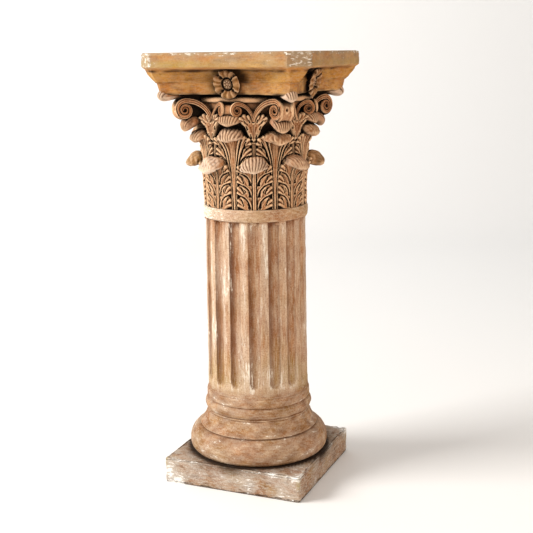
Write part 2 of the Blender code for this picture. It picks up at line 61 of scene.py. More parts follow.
def aroundAxis(bearing, radius, z):
    # points at a bearing, radius and height
    return np.stack([np.sin(bearing) * radius, -np.cos(bearing) * radius, z + 0 * bearing], -1)


def turnAbout(points, angle):
    c, s = math.cos(angle), math.sin(angle)
    x, y = points[..., 0], points[..., 1]
    return np.stack([x * c - y * s, x * s + y * c, points[..., 2]], -1)


def unevenness(points, size, seed, waves=9):
    # mean of sine waves that cross the points in random directions, each about size long
    rng = np.random.default_rng(seed)
    way = rng.normal(size=(waves, 3))
    way /= np.linalg.norm(way, axis=1)[:, None]
    way *= (2 * math.pi / size) * rng.uniform(0.6, 1.6, waves)[:, None]
    return 1.8 * np.sin(points @ way.T + rng.uniform(0, 6.28, waves)).mean(-1)


def gridNormals(rings):
    # cross product of the two central differences of a grid that closes along its second axis
    along = np.gradient(rings, axis=0)
    around = np.roll(rings, -1, 1) - np.roll(rings, 1, 1)
    n = np.cross(around, along)
    return n / np.maximum(np.linalg.norm(n, axis=-1), 1e-12)[..., None]


def relief(rings, reach):
    # how deep each point lies under the blurred surface (+ hollow, - ridge), in metres
    soft = rings
    for _ in range(reach):
        padded = np.concatenate([soft[:1], soft, soft[-1:]])
        soft = (padded[:-2] + padded[2:] + np.roll(soft, 1, 1) + np.roll(soft, -1, 1)) / 4
    return ((soft - rings) * gridNormals(rings)).sum(-1)


def ringSolid(rings, hollow=None, chalk=None, reach=4, deep=0.5 * mm, tint=None, lie=None):
    # A closed solid from rows of closed loops; each end closes on a pole at the mean of its loop.
    # Each point carries how hollow it is (dark: painted shade and wash), how raised it is (pale: wear and a
    # painted highlight), how chalky and how yellow it is, and whether its brush strokes lie level.
    rows, count = rings.shape[:2]
    sunk = relief(rings, reach)
    # the grid may run either way round, so outward is away from the middle of each loop
    outward = ((rings - rings.mean(1, keepdims=True)) * gridNormals(rings)).sum()
    sunk = sunk if outward > 0 else -sunk
    # points that lie under the blurred surface darken: painted shade in the hollows
    shade = np.clip(sunk / deep, 0, 1)
    if hollow is not None:
        shade = np.maximum(shade, hollow)
    index = np.arange(rows * count).reshape(rows, count)
    beside = np.roll(index, -1, 1)
    foot, head = rows * count, rows * count + 1
    fans = [np.stack([beside[0], index[0], np.full(count, foot)], -1),
            np.stack([index[-1], beside[-1], np.full(count, head)], -1)]
    part = {"points": np.concatenate([rings.reshape(-1, 3), rings[:1].mean(1), rings[-1:].mean(1)]),
            "quads": np.stack([index[:-1], beside[:-1], beside[1:], index[1:]], -1).reshape(-1, 4),
            "fans": np.concatenate(fans)}
    # points that stand above it lighten: wear on the ridges and a painted highlight
    rubAndHighlight = np.clip(-sunk / deep, 0, 1)
    for key, field in zip(painted, (shade, rubAndHighlight, chalk, tint, lie)):
        field = np.zeros((rows, count)) if field is None else field
        part[key] = np.concatenate([field.reshape(-1), [field[0].mean(), field[-1].mean()]])
    return part


def buildPiece(name, parts, material):
    # joins the parts into one mesh with its attributes, faces outward
    faces, offset = [], 0
    for part in parts:
        faces += (part["quads"] + offset).tolist() + (part["fans"] + offset).tolist()
        offset += len(part["points"])
    points = np.concatenate([part["points"] for part in parts])
    mesh = bpy.data.meshes.new(name)
    mesh.from_pydata(points.tolist(), [], faces)
    work = bmesh.new()
    work.from_mesh(mesh)
    bmesh.ops.recalc_face_normals(work, faces=work.faces)
    work.to_mesh(mesh)
    work.free()
    for key in painted:
        values = np.concatenate([part[key] for part in parts]).astype(np.float32)
        mesh.attributes.new(key, "FLOAT", "POINT").data.foreach_set("value", values)
    mesh.shade_smooth()
    mesh.materials.append(material)
    piece = bpy.data.objects.new(name, mesh)
    bpy.context.scene.collection.objects.link(piece)
    print(name, "has", sum(len(face) - 2 for face in faces), "triangles")
    return piece


def stroke(x, y, path, halfWidth, height, blunt=0.5):
    # Height of a rounded stroke along a path: height * (1 - d^2 / w^2) to the power blunt, with d the
    # distance to the nearest piece of the path and w the half width there; the highest piece counts.
    count = len(path)
    wide = np.broadcast_to(halfWidth, count)
    tall = np.broadcast_to(height, count)
    low, high = path.min(0) - wide.max(), path.max(0) + wide.max()
    near = (x > low[0]) & (x < high[0]) & (y > low[1]) & (y < high[1])
    result = np.zeros_like(x)
    px, py = x[near][:, None], y[near][:, None]
    if not px.size:
        return result
    run = np.diff(path, axis=0)
    fromX, fromY = px - path[:-1, 0], py - path[:-1, 1]
    t = np.clip((fromX * run[:, 0] + fromY * run[:, 1]) / (run ** 2).sum(1), 0, 1)
    gap = (fromX - t * run[:, 0]) ** 2 + (fromY - t * run[:, 1]) ** 2
    w = wide[:-1] + t * np.diff(wide)
    h = tall[:-1] + t * np.diff(tall)
    result[near] = (h * np.clip(1 - gap / w ** 2, 0, 1) ** blunt).max(-1)
    return result


def sweptTube(path, side, halfWide, halfDeep, wide, deep):
    # A section of points (wide, deep) between -1 and 1 carried along a path. side is the direction of
    # its width at each point; its depth lies square to both.
    along = np.gradient(path, axis=0)
    along /= np.linalg.norm(along, axis=1)[:, None]
    side = side - (side * along).sum(1)[:, None] * along
    side /= np.linalg.norm(side, axis=1)[:, None]
    across = np.cross(along, side)
    return (path[:, None] + side[:, None] * (halfWide[:, None] * wide)[..., None]
            + across[:, None] * (halfDeep[:, None] * deep)[..., None])


def bandSection(share):
    # A strap: its face has three ridges and two grooves on the stem (share 0) and is rounded with one
    # fine groove on the coil (share 1); its back is rounded.
    v = np.linspace(-1, 1, 19)
    stem = 0.34 * np.exp(-((np.abs(v) - 0.42) / 0.16) ** 2)
    coil = 0.36 * v ** 2 + 0.30 * np.exp(-((v - 0.30) / 0.17) ** 2)
    face = 1 - stem * (1 - share[:, None]) - coil * share[:, None] - 0.45 * np.abs(v) ** 9
    w = np.linspace(1, -1, 9)[1:-1]
    back = np.broadcast_to(-0.8 * (1 - w ** 2) ** 0.4, (len(share), 7))
    return np.concatenate([face, back], 1), np.concatenate([v, w])


# Materials
def linear(hexColour):
    # sRGB hex to linear colour
    parts = [int(hexColour[i:i + 2], 16) / 255 for i in (1, 3, 5)]
    return [p / 12.92 if p <= 0.04045 else ((p + 0.055) / 1.055) ** 2.4 for p in parts] + [1.0]


def addNode(tree, kind, values=None, links=None, **settings):
    node = tree.nodes.new(kind)
    for key, value in settings.items():
        setattr(node, key, value)
    for key, value in (values or {}).items():
        node.inputs[key].default_value = value
    for key, socket in (links or {}).items():
        tree.links.new(socket, node.inputs[key])
    return node


clay = {
    # sizes of the patterns; the sand grains are drawn coarser than real so that they show
    "grit": 0.8 * mm, "grain": 2.4 * mm, "blotch": 38 * mm, "stain": 12 * mm, "streak": 3.2 * mm,
    "wash": 8 * mm, "flake": 3.4 * mm,
    # stretch of the brush strokes that lie level and of those that stand upright
    "level": (0.35, 0.35, 1.1), "upright": (1, 1, 0.12),
    # strength of each pattern where it starts to show and where it is full
    "paleFrom": (0.35, 0.68), "washFrom": (0.47, 0.64), "yellowFrom": (0.25, 0.6, 0.35, 0.85),
    "streakFrom": (0.42, 0.66), "darkGrain": (0.46, 0.74), "paleGrain": (0.48, 0.26), "saltSpan": 0.12,
    "bump": 0.6, "bumpDepth": 0.6 * mm, "roughness": 0.88, "ior": 1.5, "sheen": 0.15,
}


def firedClay(name, looks):
    # Unglazed terracotta, cast and aged: dry, matt and grainy, pale on raised edges (wear with a painted
    # highlight), dark in the hollows and where it is shut in (brown wash with painted shade), thin limewash
    # in brush strokes, white salts where damp has dried.
    material = bpy.data.materials.new(name)
    material.use_nodes = True
    tree = material.node_tree
    shader = tree.nodes["Principled BSDF"]
    shader.inputs["Roughness"].default_value = clay["roughness"]
    shader.inputs["IOR"].default_value = clay["ior"]
    shader.inputs["Specular IOR Level"].default_value = clay["sheen"]
    place = addNode(tree, "ShaderNodeTexCoord").outputs["Object"]

    def noise(size, detail=4.0, rough=0.55, stretch=(1, 1, 1)):
        spread = addNode(tree, "ShaderNodeMapping", {"Scale": stretch}, {"Vector": place})
        values = {"Scale": 1 / size, "Detail": detail, "Roughness": rough}
        made = addNode(tree, "ShaderNodeTexNoise", values, {"Vector": spread.outputs[0]})
        return made.outputs["Fac"]

    def ramp(fac, low, high, bottom=0.0, top=1.0):
        values = {"From Min": low, "From Max": high, "To Min": bottom, "To Max": top}
        made = addNode(tree, "ShaderNodeMapRange", values, {"Value": fac}, interpolation_type="SMOOTHSTEP")
        return made.outputs[0]

    def maths(kind, a, b, clamp=True):
        made = addNode(tree, "ShaderNodeMath", operation=kind, use_clamp=clamp)
        for slot, value in enumerate((a, b)):
            if isinstance(value, float):
                made.inputs[slot].default_value = value
            else:
                tree.links.new(value, made.inputs[slot])
        return made.outputs[0]

    def blend(fac, a, b):
        made = addNode(tree, "ShaderNodeMix", data_type="RGBA")
        tree.links.new(fac, made.inputs["Factor"])
        for key, value in (("A", a), ("B", b)):
            socket = [s for s in made.inputs if s.name == key and s.type == "RGBA"][0]
            if isinstance(value, str):
                socket.default_value = linear(value)
            else:
                tree.links.new(value, socket)
        return [s for s in made.outputs if s.type == "RGBA"][0]

    def attribute(key):
        return addNode(tree, "ShaderNodeAttribute", attribute_name=key).outputs["Fac"]

    def strokes(size, rough):
        # the same noise drawn out upwards, and drawn out sideways where the strokes lie level
        lie = attribute("lie")
        level = maths("MULTIPLY", lie, noise(size, 4.0, rough, clay["level"]), False)
        stand = maths("SUBTRACT", 1.0, lie)
        upright = maths("MULTIPLY", stand, noise(size, 4.0, rough, clay["upright"]), False)
        return maths("ADD", level, upright, False)

    chalk = attribute("chalk")
    # ambient occlusion darkens the colour where the surface is shut in: painted shade in recesses and under
    # parts, standing partly for the real umber wash
    occlusionNode = addNode(tree, "ShaderNodeAmbientOcclusion", {"Distance": looks["shadeReach"]}, samples=6)
    paintedShade = ramp(occlusionNode.outputs["AO"], looks["shadeFrom"], looks["shadeFull"])
    big = noise(clay["blotch"])
    small = noise(clay["stain"], 6.0, 0.65)
    grain = noise(clay["grain"], 3.0, 0.7)
    fine = strokes(clay["streak"], 0.6)
    wash = maths("MULTIPLY", strokes(clay["wash"], 0.6), 0.75)
    wash = maths("ADD", maths("MULTIPLY", small, 0.25), wash, False)
    yellowed = maths("MULTIPLY", attribute("tint"), ramp(small, *clay["yellowFrom"]))
    colour = blend(ramp(big, *clay["paleFrom"]), looks["warm"], looks["pale"])
    for cover, share, coat in (
            (ramp(wash, *clay["washFrom"]), looks["stainShare"], "stain"), (yellowed, 1.0, "yellow"),
            (ramp(fine, *clay["streakFrom"]), looks["streakShare"], "limed"),
            (attribute("rubAndHighlight"), looks["rubAndHighlightShare"], "rubbedAndLit"), (chalk, looks["bloomShare"], "bloom"),
            (ramp(grain, *clay["darkGrain"]), looks["grainShare"], "stain"),
            (ramp(grain, *clay["paleGrain"]), looks["grainShare"], "limed")):
        colour = blend(maths("MULTIPLY", cover, share), colour, looks[coat])
    # the hollow field and the occlusion both darken towards the deep colour: painted shade, with brown wash
    # in the hollows
    sunk = maths("MULTIPLY", attribute("hollow"), looks["hollowShare"])
    sunk = maths("MAXIMUM", sunk, maths("MULTIPLY", paintedShade, looks["shadeShare"]))
    colour = blend(sunk, colour, looks["deep"])
    patches = maths("ADD", strokes(clay["flake"], 0.75), maths("MULTIPLY", chalk, 0.3), False)
    saltFrom = looks["saltFrom"]
    colour = blend(ramp(patches, saltFrom, saltFrom + clay["saltSpan"]), colour, looks["salt"])
    tree.links.new(colour, shader.inputs["Base Color"])
    grit = maths("MULTIPLY", noise(clay["grit"], 3.0, 0.6), 0.3)
    height = maths("ADD", grit, maths("MULTIPLY", small, 0.35))
    height = maths("ADD", height, maths("MULTIPLY", grain, 0.35))
    strength = {"Strength": clay["bump"], "Distance": clay["bumpDepth"]}
    bump = addNode(tree, "ShaderNodeBump", strength, {"Height": height})
    tree.links.new(bump.outputs[0], shader.inputs["Normal"])
    return material


# deep is the colour of the hollows and of the painted shade; rubbedAndLit that of worn ridges and painted
# highlights
shaftClay = firedClay("terracotta cast and limewashed", {
    "warm": "#9A673F", "pale": "#BA906C", "stain": "#754829", "rubbedAndLit": "#D2B99E", "deep": "#55290F",
    "yellow": "#9C7F45", "limed": "#CBB59C", "bloom": "#D0C0AE", "salt": "#DED5C6", "stainShare": 0.55,
    "streakShare": 0.6, "grainShare": 0.6, "rubAndHighlightShare": 0.5, "hollowShare": 0.85, "shadeShare": 0.6,
    "bloomShare": 0.6, "saltFrom": 0.75, "shadeReach": 5 * mm, "shadeFrom": 0.8, "shadeFull": 0.3})
# its near-black deep colour is painted shade in the hollows and under the leaves, over the umber wash
capitalClay = firedClay("terracotta cast with umber wash and painted shade", {
    "warm": "#8E5328", "pale": "#B07A4E", "stain": "#60351B", "rubbedAndLit": "#E6C19A", "deep": "#0C0502",
    "yellow": "#9E7A38", "limed": "#C09D80", "bloom": "#E4D0BC", "salt": "#F0EAE0", "stainShare": 0.65,
    "streakShare": 0.3, "grainShare": 0.3, "rubAndHighlightShare": 0.95, "hollowShare": 0.98, "shadeShare": 0.99,
    "bloomShare": 0.8, "saltFrom": 0.83, "shadeReach": 19 * mm, "shadeFrom": 0.88, "shadeFull": 0.36})
abacusClay = firedClay("terracotta cast with ochre wash", {
    "warm": "#AE7036", "pale": "#C4904E", "stain": "#6E4222", "rubbedAndLit": "#D2B084", "deep": "#1E0F08",
    "yellow": "#B2903C", "limed": "#B39A7C", "bloom": "#9F8F76", "salt": "#E2DBD0", "stainShare": 0.6,
    "streakShare": 0.35, "grainShare": 0.3, "rubAndHighlightShare": 0.5, "hollowShare": 0.9, "shadeShare": 0.97,
    "bloomShare": 0.8, "saltFrom": 0.79, "shadeReach": 14 * mm, "shadeFrom": 0.80, "shadeFull": 0.26})
plinthClay = firedClay("terracotta cast with salt bloom", {
    "warm": "#92694A", "pale": "#A68B74", "stain": "#60432F", "rubbedAndLit": "#CDC2B2", "deep": "#1E1006",
    "yellow": "#A48E44", "limed": "#C4BCB0", "bloom": "#C4C0B8", "salt": "#E6E4E0", "stainShare": 0.65,
    "streakShare": 0.55, "grainShare": 0.6, "rubAndHighlightShare": 0.5, "hollowShare": 0.95, "shadeShare": 0.95,
    "bloomShare": 0.8, "saltFrom": 0.705, "shadeReach": 8 * mm, "shadeFrom": 0.85, "shadeFull": 0.35})


# Plinth
plinth = {
    "edge": 2.6 * mm, "wear": 1.9 * mm, "around": 192, "sideRows": 26, "faceRows": 26, "cornerPower": 0.012,
    "wave": 0.4 * mm, "rubbedFrom": 14 * mm, "arrisFrom": 9 * mm,
    # chalk on every face, more on the left and low down, less on the right; then how far it varies
    "chalk": 0.36, "chalkLeft": 0.5, "chalkRight": 0.35, "chalkEdge": 0.35, "chalkVaries": 1.1,
    # a darker brown ring round the base with its strength, and painted shade under the round base: distances
    # from the axis where each starts and is full
    "darkRingShare": 0.45, "darkRing": (158 * mm, 126 * mm), "under": (135 * mm, 128 * mm),
}


def squareLoop(half, count, cornerPower):
    # a square plan with slightly rounded corners: a circle pushed out towards a square, its points
    # crowded at the corners
    along = np.arctan(np.sin(np.linspace(-1, 1, count // 4, endpoint=False) * quarter))
    turn = (np.arange(4)[:, None] * quarter + along).reshape(-1)
    x, y = np.cos(turn), np.sin(turn)
    power = 1 / cornerPower
    reach = (np.abs(x) ** power + np.abs(y) ** power) ** (-cornerPower)
    return np.stack([x * reach * half, y * reach * half], -1)


def makePlinth():
    half = plinthHigh.x
    edge = plinth["edge"]
    inward = np.linspace(0, 1, plinth["faceRows"]) ** 0.8
    corner = np.linspace(0, quarter, 6)
    sizes = [half * inward * (1 - edge / half), half - edge + edge * np.sin(corner),
             np.full(plinth["sideRows"], half), half - edge + edge * np.cos(corner),
             half * inward[::-1] * (1 - edge / half)]
    heights = [np.full(plinth["faceRows"], 0.0), edge - edge * np.cos(corner),
               np.linspace(edge, plinthHigh.z - edge, plinth["sideRows"]),
               plinthHigh.z - edge + edge * np.sin(corner), np.full(plinth["faceRows"], plinthHigh.z)]
    size, height = np.concatenate(sizes)[1:-1], np.concatenate(heights)[1:-1]
    loop = squareLoop(1.0, plinth["around"], plinth["cornerPower"])
    rings = np.concatenate([loop[None] * size[:, None, None], np.broadcast_to(
        height[:, None, None], (len(size), len(loop), 1))], -1)
    n = gridNormals(rings)
    # greater is how far a point stands from the axis along x or y, whichever is more, lesser the other
    lesser, greater = np.moveaxis(np.sort(np.abs(rings[..., :2]), -1), -1, 0)
    nearEdge = smooth(half - plinth["rubbedFrom"], half - 1 * mm, greater)
    arris = smooth(half - plinth["arrisFrom"], half - 1 * mm, lesser)
    onSide = smooth(0.2 * mm, 2 * mm, rings[..., 2])
    level = rings[..., 2] / plinthHigh.z
    wear = np.clip(unevenness(rings, 24 * mm, 3) + 0.4 * unevenness(rings, 9 * mm, 4), -0.1, 1.1)
    ends = np.maximum(smooth(0.75, 1, level), smooth(0.25, 0, level))
    edges = nearEdge * (0.5 + 0.8 * ends + 0.4 * arris)
    layers = unevenness(rings * [0.2, 0.2, 1.4], 9 * mm, 6) * (1 - arris)
    face = plinth["wave"] * (unevenness(rings, 40 * mm, 5) + layers)
    rings = rings - n * ((np.abs(wear) * plinth["wear"] * edges + np.abs(face)) * onSide)[..., None]
    rings[..., 2] = np.clip(rings[..., 2], 0, plinthHigh.z)
    side = smooth(half - 5 * mm, half - 2 * mm, greater)
    patchy = 0.5 * unevenness(rings, 50 * mm, 8) + 0.3 * unevenness(rings, 22 * mm, 9)
    left = smooth(0.02, -0.14, rings[..., 0])
    right = smooth(0.10, 0.15, rings[..., 0])
    whiter = (plinth["chalkLeft"] * left - 0.1) * (0.4 + 0.6 * smooth(0.8, 0.2, level))
    chalk = plinth["chalk"] + side * (whiter - 0.3 * arris * left - plinth["chalkRight"] * right)
    chalk += plinth["chalkEdge"] * smooth(half - 10 * mm, half - 3 * mm, greater) * smooth(0.8, 1, level)
    chalk = np.clip(chalk + plinth["chalkVaries"] * patchy, 0, 1)
    tint = 1.6 * arris * smooth(0.3, 0.8, level) * side + 0.25 * unevenness(rings, 45 * mm, 10)
    standing = np.hypot(rings[..., 0], rings[..., 1])
    # painted shade under the round base and a darker ring round it, on the top face; salts stay off them
    hollow = np.maximum(plinth["darkRingShare"] * smooth(*plinth["darkRing"], standing),
                        smooth(*plinth["under"], standing)) * smooth(0.5, 1, level)
    return ringSolid(rings, hollow, chalk * (1 - hollow), deep=3 * mm, tint=np.clip(tint, 0, 1),
                     lie=np.ones(tint.shape))


plinthPiece = buildPiece("plinth_clay", [makePlinth()], plinthClay)
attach(plinthPiece, "root")
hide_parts("plinth")


# Shaft
shaft = {
    "flutes": 16, "fluteTurn": 2.0, "fluteHalf": math.radians(6.7), "fluteDepth": 4.6 * mm,
    "fluteFoot": 178.0 * mm, "fluteTop": 475.6 * mm, "footRound": 12 * mm, "across": 11, "between": 5,
    "lump": 4.2 * mm, "bandRound": 3.4 * mm, "washDeep": 7 * mm, "baseWashDeep": 0.9 * mm,
    # heights where the lumps under the band, the darkening at the top of a flute and the yellow low on the
    # drum start and are full
    "lumpSpan": (467 * mm, 474.5 * mm), "darkerTopSpan": (462 * mm, 475.5 * mm),
    "yellowSpan": (260 * mm, 180 * mm),
    # profile from the foot up as radius, height above the floor
    "base": [(118.5, 46.4), (121.5, 48.0), (124.6, 52.0), (126.0, 59.0), (126.0, 67.0), (124.2, 74.5),
             (120.6, 81.0), (115.6, 86.5), (110.4, 89.6), (105.4, 90.4), (104.8, 91.2), (107.2, 92.2),
             (107.6, 93.6), (106.0, 95.2), (101.4, 100.5), (98.0, 106.5), (95.6, 112.5), (94.0, 117.6),
             (92.6, 119.0), (93.9, 120.2), (94.0, 121.8), (91.8, 123.0), (94.6, 124.6), (96.6, 128.0),
             (97.4, 132.4), (96.9, 136.6), (95.2, 140.0), (92.2, 142.0), (91.2, 142.8), (93.2, 144.0),
             (93.7, 146.0), (93.7, 156.0), (93.3, 158.6), (91.6, 160.2), (92.1, 162.0), (91.2, 163.6)],
    "bandLow": 476.4 * mm, "bandRadius": 92.8 * mm, "footRadius": 91.2 * mm, "topRadius": 88.7 * mm,
    # depth of the dents, the grain, the upright marks on the drum and the level ones on the mouldings
    "dents": 0.45 * mm, "grain": 0.2 * mm, "upright": 0.4 * mm, "levelMarks": 0.3 * mm,
    # brown wash over a whole flute; painted shade on its left wall, where the light from the left leaves it
    # in shadow; more wash at its right wall; darker at its top; wash on the mouldings
    "washEven": 0.28, "shadeLeft": 0.60, "washRight": 0.35, "darkerTop": 0.6, "washBase": 0.34,
    # how the wash changes round the drum: mean, swing and where it is strongest
    "weather": 0.70, "weatherSwing": 0.42, "weatherTurn": 0.7,
    # limewash: mean on the drum, its runs, less in the flutes, broad changes, mean on the mouldings and band
    "lime": 0.58, "limeRuns": 0.40, "limeSunk": 0.42, "limeWide": 0.35, "limeBase": 0.30, "limeBand": 0.52,
    # heights over which the mouldings give way to the drum, and the drum to the band
    "drumFrom": (160 * mm, 180 * mm), "drumTo": (478 * mm, 470 * mm),
}


def makeShaft():
    base = np.array(shaft["base"]) * mm
    base[0, 1] = shaftLow.z
    lengths = np.concatenate([[0], np.cumsum(np.linalg.norm(np.diff(base, axis=0), axis=1))])
    fine = np.linspace(0, lengths[-1], 118)
    radius = [np.interp(fine, lengths, base[:, 0])]
    height = [np.interp(fine, lengths, base[:, 1])]
    drumLow, drumHigh = base[-1, 1], shaft["bandLow"]
    # rows crowd at the foot of the flutes and under the band
    share = [np.arange(1, 13) / 91, np.linspace(0.14, 0.96, 46), np.linspace(0.962, 0.998, 16)]
    share = np.concatenate(share)
    height.append(drumLow + (drumHigh - drumLow) * share)
    radius.append(shaft["footRadius"] + (shaft["topRadius"] - shaft["footRadius"]) * share)
    turn = np.linspace(-quarter, quarter, 18)
    band = shaftHigh.z - shaft["bandLow"]
    radius.append(shaft["bandRadius"] - shaft["bandRound"] * (1 - np.cos(turn) ** 0.5))
    height.append(shaft["bandLow"] + band * (0.5 + 0.5 * np.sign(turn) * np.abs(np.sin(turn)) ** 0.8))
    radius.append(np.array([80, 50, 20]) * mm)
    height.append(np.full(3, shaftHigh.z))
    radius, height = np.concatenate(radius), np.concatenate(height)
    # columns crowd at both edges of each flute; off runs from -1 to 1 across a flute
    pitch = 2 * math.pi / shaft["flutes"]
    half = shaft["fluteHalf"]
    offs = np.concatenate([np.sin(np.linspace(-1, 1, shaft["across"]) * quarter),
                           np.linspace(1.03, pitch / half - 1.03, shaft["between"])])
    starts = np.arange(shaft["flutes"])[:, None] * pitch - math.radians(shaft["fluteTurn"])
    bearing = (starts + offs * half).reshape(-1)
    offs = np.tile(np.where(offs > pitch / half / 2, offs - pitch / half, offs), shaft["flutes"])
    radius, height = radius[:, None] + 0 * bearing, height[:, None] + 0 * bearing
    bearing, off = bearing + 0 * radius, offs + 0 * radius
    # flutes: across, half an ellipse; along, a round foot and a ragged square top
    rise = (height - shaft["fluteFoot"]) / shaft["footRound"]
    closing = np.where(rise < 1, (1 - np.clip(rise, -1, 1)) ** 2, 0)
    ragged = shaft["fluteTop"] + 0.8 * mm * np.sin(bearing * 37) * np.sin(bearing * 11 + 1)
    inside = np.clip(1 - off ** 2 - closing, 0, 1) * (rise > 0)
    inside *= smooth(ragged + 0.4 * mm, ragged - 3.0 * mm, height)
    depth = shaft["fluteDepth"] * inside ** 0.5
    points = aroundAxis(bearing, radius - depth, height)
    low = smooth(*shaft["drumFrom"][::-1], height)
    onDrum = smooth(*shaft["drumFrom"], height) * smooth(*shaft["drumTo"], height)
    rough = shaft["dents"] * unevenness(points, 30 * mm, 12)
    rough += shaft["grain"] * unevenness(points, 7 * mm, 13)
    rough += shaft["upright"] * unevenness(points * [1, 1, 0.15], 9 * mm, 14) * onDrum
    rough += shaft["levelMarks"] * unevenness(points * [0.4, 0.4, 2], 9 * mm, 18) * low
    # lumps of clay hang from the neck band into the tops of the flutes
    underBand = smooth(*shaft["lumpSpan"], height) * (height < shaft["bandLow"] + 0.8 * mm)
    lumps = np.clip(1.4 * unevenness(points * [1, 1, 0.3], 12 * mm, 16), 0, 1) * underBand
    rough += shaft["lump"] * lumps * (inside > 0.05)
    keep = np.clip((height - shaftLow.z) / (2 * mm), 0, 1) * np.clip((shaftHigh.z - height) / (2 * mm), 0, 1)
    points = aroundAxis(bearing, radius - depth + rough * keep, height)
    # brown wash lies over a whole flute and more at its right wall, with painted shade on its left wall,
    # where the light from the left leaves it in shadow, and it is darker at its top; it is thickest on the
    # flutes at the front left
    weather = shaft["weather"] + shaft["weatherSwing"] * np.cos(bearing + shaft["weatherTurn"])
    walls = shaft["shadeLeft"] * smooth(0.4, -0.7, off) + shaft["washRight"] * smooth(0.7, 0.97, off)
    wash = weather * (shaft["washEven"] + walls)
    wash += shaft["darkerTop"] * smooth(*shaft["darkerTopSpan"], height) * (lumps < 0.3)
    wash *= (inside > 0.01) * (0.8 + 0.5 * unevenness(points * [1, 1, 0.2], 60 * mm, 17))
    baseWash = shaft["washBase"] + 0.24 * unevenness(points * [1, 1, 1.5], 26 * mm, 21)
    hollow = np.maximum(wash, low * baseWash)
    # limewash runs down the fillets in broad strokes and lies in patches on the mouldings
    runs = unevenness(points * [1, 1, 0.05], 16 * mm, 22)
    wide = unevenness(points, 70 * mm, 15)
    sunk = (depth / shaft["fluteDepth"]) ** 1.2
    patches = (0.45 * unevenness(points * [1, 1, 2], 34 * mm, 19)
               + 0.15 * unevenness(points * [1, 1, 2], 11 * mm, 23))
    chalk = shaft["lime"] + shaft["limeRuns"] * runs - shaft["limeSunk"] * sunk + shaft["limeWide"] * wide
    chalk = chalk * onDrum + low * (shaft["limeBase"] + patches + 0.3 * wide)
    onBand = height > shaft["bandLow"]
    # the band is limed, lighter on its left side and darker on its right as the light falls from the left:
    # painted light and shade
    chalk = np.where(onBand, shaft["limeBand"] - 0.7 * np.sin(bearing), np.clip(chalk, 0, 1))
    low = np.where(onBand, 1.0, low)
    tint = 0.9 * smooth(*shaft["yellowSpan"], height) * onDrum + 0.3 * low
    tint += 0.5 * unevenness(points, 70 * mm, 20)
    return ringSolid(points, np.clip(hollow, 0, 1), chalk, 5, tint=np.clip(tint, 0, 1), lie=low,
                     deep=np.where(onDrum > 0.5, shaft["washDeep"], shaft["baseWashDeep"]))


shaftPiece = buildPiece("shaft_clay", [makeShaft()], shaftClay)
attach(shaftPiece, "root")
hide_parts("shaft")


# Leaves. Their drawing is in millimetres: x across the leaf, y up from the capital's foot.
bell = {"foot": 87.0, "waist": 85.5, "waistHeight": 105.0, "underLip": 97.0, "lip": 103.0, "lipLow": 180.6,
        "lipHigh": 10.0, "lipRound": 3.4, "neck": 88.0, "topDrop": 55.0}
lowerLeaf = {
    "halfWidth": 33.0, "height": 88.0, "columns": 98, "rows": 98, "lean": 4.5, "sheetBack": 80.0,
    "curl": 7.0, "curlFrom": (56, 80), "wrap": 92.0,
    "tip": {"arch": 2.2, "vee": 1.15, "wrap": 108.0,
            "section": [(84, 86), (92, 93), (101, 93.8), (109, 91.4), (115.5, 86.5), (119.5, 80.5),
                        (121.6, 74), (120.5, 69), (116, 66.4), (110, 66.6), (103, 68.5), (96, 71), (84, 73)],
            "middle": 77.0, "ends": 74.5, "half": 24.5, "pivot": 53.0, "ribs": 9, "ribDepth": 2.1},
    # one value per leaf, from the front one round to the right
    "lowered": (2.0, 1.5, 1.0, 0.0, 1.0, 0.5, 0.0, 3.5),
    "ribShare": (1, 0.45, 0.3, 0.8, 0.9, 0.7, 0.4, 0.15),
    "tilt": (0.10, -0.2, 0.05, 0, -0.1, 0.1, 0, 0.14),
    "tint": (0, 0, 0.5, 0.1, 0.3, 0.5, 0.8, 0),
    "chalk": (0.75, 0.35, 0.1, 0.4, 0.5, 0.35, 0.2, 1.2)}
upperLeaf = {
    "halfWidth": 34.0, "height": 136.0, "columns": 96, "rows": 110, "lean": 6.5, "sheetBack": 80.0,
    "curl": 6.0, "curlFrom": (102, 124), "wrap": 92.0,
    "tip": {"arch": 2.4, "vee": 1.1, "wrap": 108.0,
            "section": [(84, 133), (93, 138.6), (102, 139.2), (109.5, 136.6), (114.5, 132), (117.3, 126),
                        (118, 120.6), (115.5, 116.8), (110, 115.2), (103, 117), (96, 119), (84, 121)],
            "middle": 126.0, "ends": 124.0, "half": 25.5, "pivot": 95.0, "ribs": 8, "ribDepth": 2.3},
    "lowered": (0.0, 5.0, -5.0, 0.0, 1.0, 0.0, 2.0, 4.0),
    "ribShare": (0.9, 0.2, 0.3, 0.8, 0.7, 0.8, 0.6, 0.7),
    "tilt": (0.04, -0.06, -0.1, 0.08, 0, -0.08, 0.05, 0.08),
    "tint": (0.1, 0.2, 0.3, 0.1, 0.2, 0.1, 0.2, 0.2),
    "chalk": (0.45, 0.15, 0.2, 0.4, 0.3, 0.5, 0.3, 0.3)}


def bellRadius(y):
    # in mm: narrows a little to the waist, then flares to the lip
    up = np.clip((y - bell["waistHeight"]) / (bell["lipLow"] - bell["waistHeight"]), 0, 1)
    low = bell["foot"] + (bell["waist"] - bell["foot"]) * np.clip(y / bell["waistHeight"], 0, 1)
    return low + (bell["underLip"] - bell["waist"]) * up ** 2.2


def sweep(side, *places, count=22):
    # a smooth path through three or four drawn places, mirrored to the side
    places = np.array(places, float) * [side, 1]
    t = np.linspace(0, 1, count)[:, None]
    if len(places) == 3:
        a, b, c = places
        return (1 - t) ** 2 * a + 2 * t * (1 - t) * b + t * t * c
    a, b, c, d = places
    return (1 - t) ** 3 * a + 3 * t * (1 - t) ** 2 * b + 3 * t * t * (1 - t) * c + t ** 3 * d


